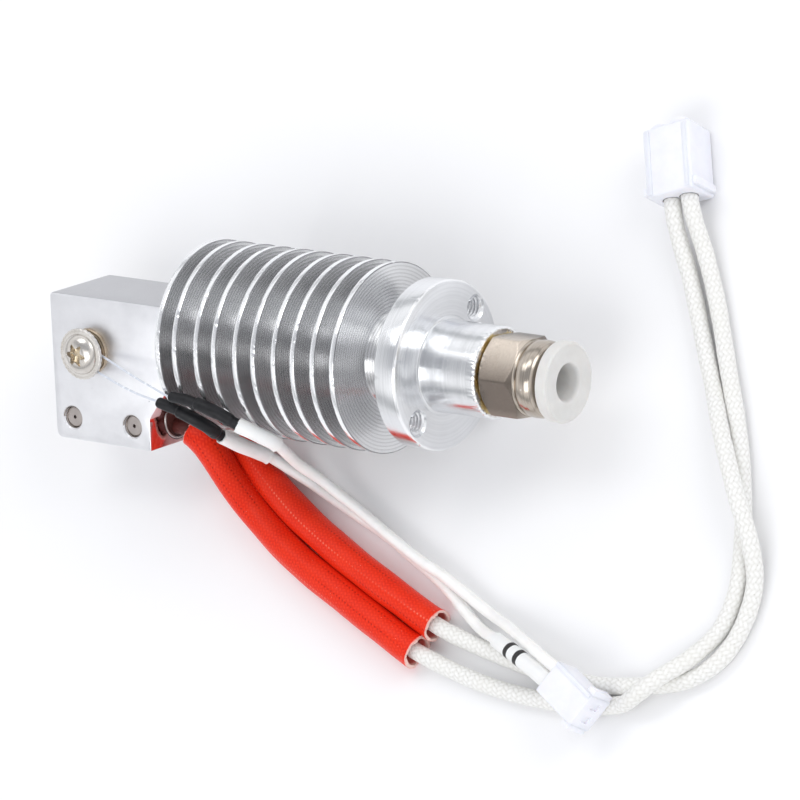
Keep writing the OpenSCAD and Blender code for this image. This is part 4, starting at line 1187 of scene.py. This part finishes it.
def set_screws():
    n = 96
    th = np.linspace(0, 2 * math.pi, n, endpoint=False)
    VV, FF = [], []
    for i, x in enumerate((3, 13.4)):
        rot = 0.35 + i * 0.4

        def hexa(t):
            a = (t + rot) % (math.pi / 3) - math.pi / 6
            return 0.24 / np.cos(a)
        outer = [(0.0, 5.56), (1.01, 5.56), (1.25, 5.54), (1.36, 5.48), (1.43, 5.36), (1.47, 5.2)]
        V, F, m = polar_head(outer, hexa, 4.9, n, R=1.47)
        extra = [(1.47, 3.2), (1.2, 2.98), (0.0, 2.98)]
        base = len(V)
        V = np.vstack([V] + [np.stack([r * np.cos(th), r * np.sin(th), np.full(n, z)], -1) for r, z in extra])
        F += [f[::-1] for f in grid_faces(len(extra) + 1, n, base=base - n).tolist()]
        V = V + np.array([x, -12.75, 0])
        VV.append(V)
        FF.append(F)
        tv, tf = helix_thread(2.6, 5.85, 0.5, 1.52, 1.46, 40)
        tv = np.stack([tv[:, 1], tv[:, 2], tv[:, 0]], -1)
        add(f"set_screw_thread_{i + 1}", tv, tf, NICKEL, at=BLOCK @ Matrix.Translation((x * MM, -12.75 * MM, 0)), angle=50, slot="block_aluminium")
    V, F = join((VV[0], FF[0]), (VV[1], FF[1]))
    add("set_screws", V, F, DARK_STEEL, at=BLOCK, angle=32, stands=("cartridge_set_screws",), slot="dark_steel", weld=True)


set_screws()


def bead_and_legs():
    prof = [(-1.0, 0.0), (-0.95, 0.18), (-0.82, 0.34), (-0.6, 0.46), (-0.3, 0.53), (0.1, 0.54), (0.45, 0.5), (0.75, 0.38), (0.95, 0.18), (1.0, 0.0)]
    V, F = revolve(prof, 40)
    V = np.stack([V[:, 1] + 6.7 + 2.2, V[:, 0] - 3.55, V[:, 2] + 7.05], -1)
    F = [f[::-1] for f in F.tolist()]
    add("sensor_bead_glass", V, F, BEAD, at=BLOCK, angle=60, stands=("sensor_bead",), slot="bead_glass", weld=True)
    legs = {
        "sensor_leg_lower": [(7.9, -4.0, 7.0), (8.2, -5.2, 7.05), (11.77, -5.91, 8.2), (15.34, -6.43, 9.35), (18.91, -6.71, 10.51), (22.45, -6.81, 11.66), (23.1, -6.85, 11.9)],
        "sensor_leg_upper": [(8.9, -3.2, 7.0), (9.75, -3.3, 7.05), (13.63, -4.03, 8.33), (17.49, -4.7, 9.62), (21.34, -5.29, 10.9), (25.15, -5.82, 12.18), (25.8, -5.9, 12.25)]}
    for k, (name, pts) in enumerate(legs.items()):
        P = resample(catmull(pts, 16), 0.1)
        T, A, B = transport(P, (0, 0, 1))
        s = arc(P)
        parts = []
        spread = 0.07 + 0.012 * np.sin(s * 0.35 + k)
        # two hair-fine strands laid side by side
        for sgn in (-1, 1):
            Q = P + B * (spread * sgn)[:, None] + A * (0.012 * np.sin(s * 0.6 + k + sgn))[:, None]
            parts.append(tube(Q, 0.085, 12))
        V, F = join(*parts)
        add(name, V, F, LEG, at=BLOCK, angle=60, stands=("sensor_legs",), slot="white_insulation")


bead_and_legs()


# ------------------------------------------------------------------ nozzle
def nozzle():
    n = 144
    ph = np.linspace(0, 2 * math.pi, n, endpoint=False)
    cone = fillet([(-4, 0.2), (-4, 0.5), (-3.85, 0.62), (-2.0, 2.45), (-1.85, 2.6), (-1.8, 2.62)], 0.06)
    V1, F1 = revolve(cone + [(-1.8, 1.2)], n)

    def hexr(x):
        a = (ph % (math.pi / 3)) - math.pi / 6
        h = 3.0 / np.cos(a)
        return np.minimum(h, np.interp(x, [-1.8, -1.45, -0.4, -0.1], [3.05, 3.46, 3.46, 3.1]))
    xs = [-1.8, -1.72, -1.62, -1.5, -1.3, -0.6, -0.4, -0.28, -0.18, -0.1]
    rows = [(x, hexr(x)) for x in xs]
    rows = [(-1.8, np.full(n, 1.2))] + rows + [(-0.1, np.full(n, 1.2))]
    V2 = np.vstack([np.stack([np.full(n, x), r * np.cos(ph), r * np.sin(ph)], -1) for x, r in rows])
    F2 = grid_faces(len(rows), n).tolist()
    V3, F3 = revolve(fillet([(-0.2, 1.0), (-0.2, 2.5), (0.1, 2.55), (0.4, 2.92), (7.7, 2.92), (7.98, 2.7), (7.98, 1), (-2.6, 1), (-3.2, 0.2), (-4, 0.2)], 0.05), n)
    V, F = join((V1, F1.tolist()), (V2, F2), (V3, F3.tolist()))
    add("nozzle_body", V, F, BRASS, at=BLOCK, angle=28, stands=("nozzle",), slot="brass")


nozzle()


# ------------------------------------------------------------------ push-fit inlet
def fitting():
    n = 360
    ph = np.linspace(0, 2 * math.pi, n, endpoint=False)
    off = math.radians(25)

    def hexr(x):
        a = ((ph - off) % (math.pi / 3)) - math.pi / 6
        h = 5.0 / np.cos(a)
        lim = np.interp(x, [70.55, 71.15, 75.0, 75.6], [5.05, 5.85, 5.85, 4.98])
        return np.minimum(np.minimum(h, lim), 5.74)
    xs = [70.55, 70.62, 70.7, 70.78, 70.86, 70.95, 71.05, 71.15, 71.4, 73, 74.75, 75.0, 75.08, 75.16, 75.24, 75.32, 75.4, 75.48, 75.55, 75.6]
    rows = [(70.44, np.full(n, 3.4)), (70.44, np.full(n, 4.75)), (70.5, np.full(n, 4.9))] + [(x, hexr(x)) for x in xs]
    tail = fillet([(75.6, 4.9), (75.75, 4.72), (75.95, 4.74), (76.25, 4.93), (76.9, 5.0), (77.6, 4.96), (78.15, 4.78), (78.5, 4.45), (78.6, 4.1), (78.6, 3.72), (78.45, 3.6), (74.0, 3.6), (74.0, 3.4), (70.44, 3.4)], 0.12)
    rows += [(x, np.full(n, r)) for x, r in tail]
    V = np.vstack([np.stack([np.full(n, x), r * np.cos(ph), r * np.sin(ph)], -1) for x, r in rows])
    F = grid_faces(len(rows), n)
    fm = np.zeros(len(F), np.int32)
    brass_to = 3 + 4
    fm[:brass_to * n] = 2
    flat_r = hexr(73)
    # brass shows only on the chamfer, not on the flats
    for row in range(3, brass_to):
        x = xs[row - 3]
        onflat = hexr(x) > 5.0 / np.cos(((ph - off) % (math.pi / 3)) - math.pi / 6) - 1e-6
        seg = fm[row * n:(row + 1) * n]
        seg[onflat] = 0
    fm[(3 + len(xs)) * n:] = 1
    add("fitting_hexagon", V, F, [CHAMPAGNE, CHAMPAGNE_POLISHED, BRASS], at=BLOCK, angle=24, faces_mat=fm, stands=("fitting_body",), slot="nickelled_brass")


fitting()


def collar():
    prof = fillet([(76.9, 2.15), (76.9, 2.6), (77.25, 2.95), (79.28, 2.95), (79.3, 3.3), (79.3, 5.0), (79.45, 5.2), (80.7, 5.25), (80.98, 5.0),
                   (81.0, 4.86), (80.93, 4.7), (80.93, 3.4), (80.96, 2.9), (80.9, 2.55), (80.55, 2.36), (79.5, 2.2), (76.9, 2.15)], 0.14, 4)

    def disp(X, R, PH):
        return X + 0.012 * np.sin(2 * PH) * (X > 79), R + 0.008 * np.sin(3 * PH + 0.5) * (R > 4)
    add("collar_ring", *revolve(prof, 192, disp), CREAM, at=BLOCK, angle=32, body="collar", stands=("fitting_collar",), slot="cream_plastic")


collar()


# ------------------------------------------------------------------ stage and light
def stage_floor():
    m, nt, b = mat("stage_floor", Roughness=0.85)
    b.inputs["Specular IOR Level"].default_value = 0.1
    co = coords(nt, 1.0)
    f = noise(nt, co, 3.0, 3.0)
    to(nt, mixc(nt, f, (0.90, 0.90, 0.91), (0.93, 0.93, 0.935)), b, "Base Color")
    me = bpy.data.meshes.new("floor")
    s = 6.0
    me.from_pydata([(-s, -s, -0.0002), (s, -s, -0.0002), (s, s, -0.0002), (-s, s, -0.0002)], [], [(0, 1, 2, 3)])
    me.materials.append(m)
    ob = bpy.data.objects.new("floor", me)
    bpy.context.scene.collection.objects.link(ob)


stage_floor()

world = bpy.data.worlds.new("world")
bpy.context.scene.world = world
world.use_nodes = True
wn = world.node_tree
wn.nodes.clear()
wo = wn.nodes.new("ShaderNodeOutputWorld")
bg = wn.nodes.new("ShaderNodeBackground")
tc = wn.nodes.new("ShaderNodeTexCoord")
sp = N(wn, "ShaderNodeSeparateXYZ", {0: tc.outputs["Generated"]})
sky = ramp(wn, remap(wn, sp.outputs[2], -1.0, 1.0, 0.0, 1.0),
           [(0.0, (0.8, 0.8, 0.82)), (0.5, (0.97, 0.97, 0.985)), (0.56, (0.80, 0.81, 0.83)), (0.61, (0.42, 0.43, 0.45)), (0.66, (0.55, 0.56, 0.58)), (0.73, (0.98, 0.985, 1.0)), (0.82, (0.90, 0.905, 0.925)), (0.90, (0.50, 0.51, 0.535)), (1.0, (0.42, 0.43, 0.46))])
wn.links.new(sky, bg.inputs[0])
bg.inputs[1].default_value = 1.12
wn.links.new(bg.outputs[0], wo.inputs[0])


def softbox(name, loc, target, size, power, color=(1, 1, 1)):
    ld = bpy.data.lights.new(name, "AREA")
    ld.shape = "RECTANGLE"
    ld.size, ld.size_y = size
    ld.energy = power
    ld.color = color
    ob = bpy.data.objects.new(name, ld)
    bpy.context.scene.collection.objects.link(ob)
    ob.location = loc
    ob.rotation_euler = (Vector(target) - Vector(loc)).to_track_quat("-Z", "Y").to_euler()
    return ob


softbox("key", (0.15, -0.75, 1.0), (0.01, 0, 0.01), (0.9, 0.6), 4.0)
softbox("fill", (0.75, 0.55, 0.55), (0.01, 0, 0.01), (0.5, 0.6), 2.0)
softbox("top", (-0.25, 0.45, 1.1), (0.01, 0, 0.01), (0.8, 0.4), 2.5)
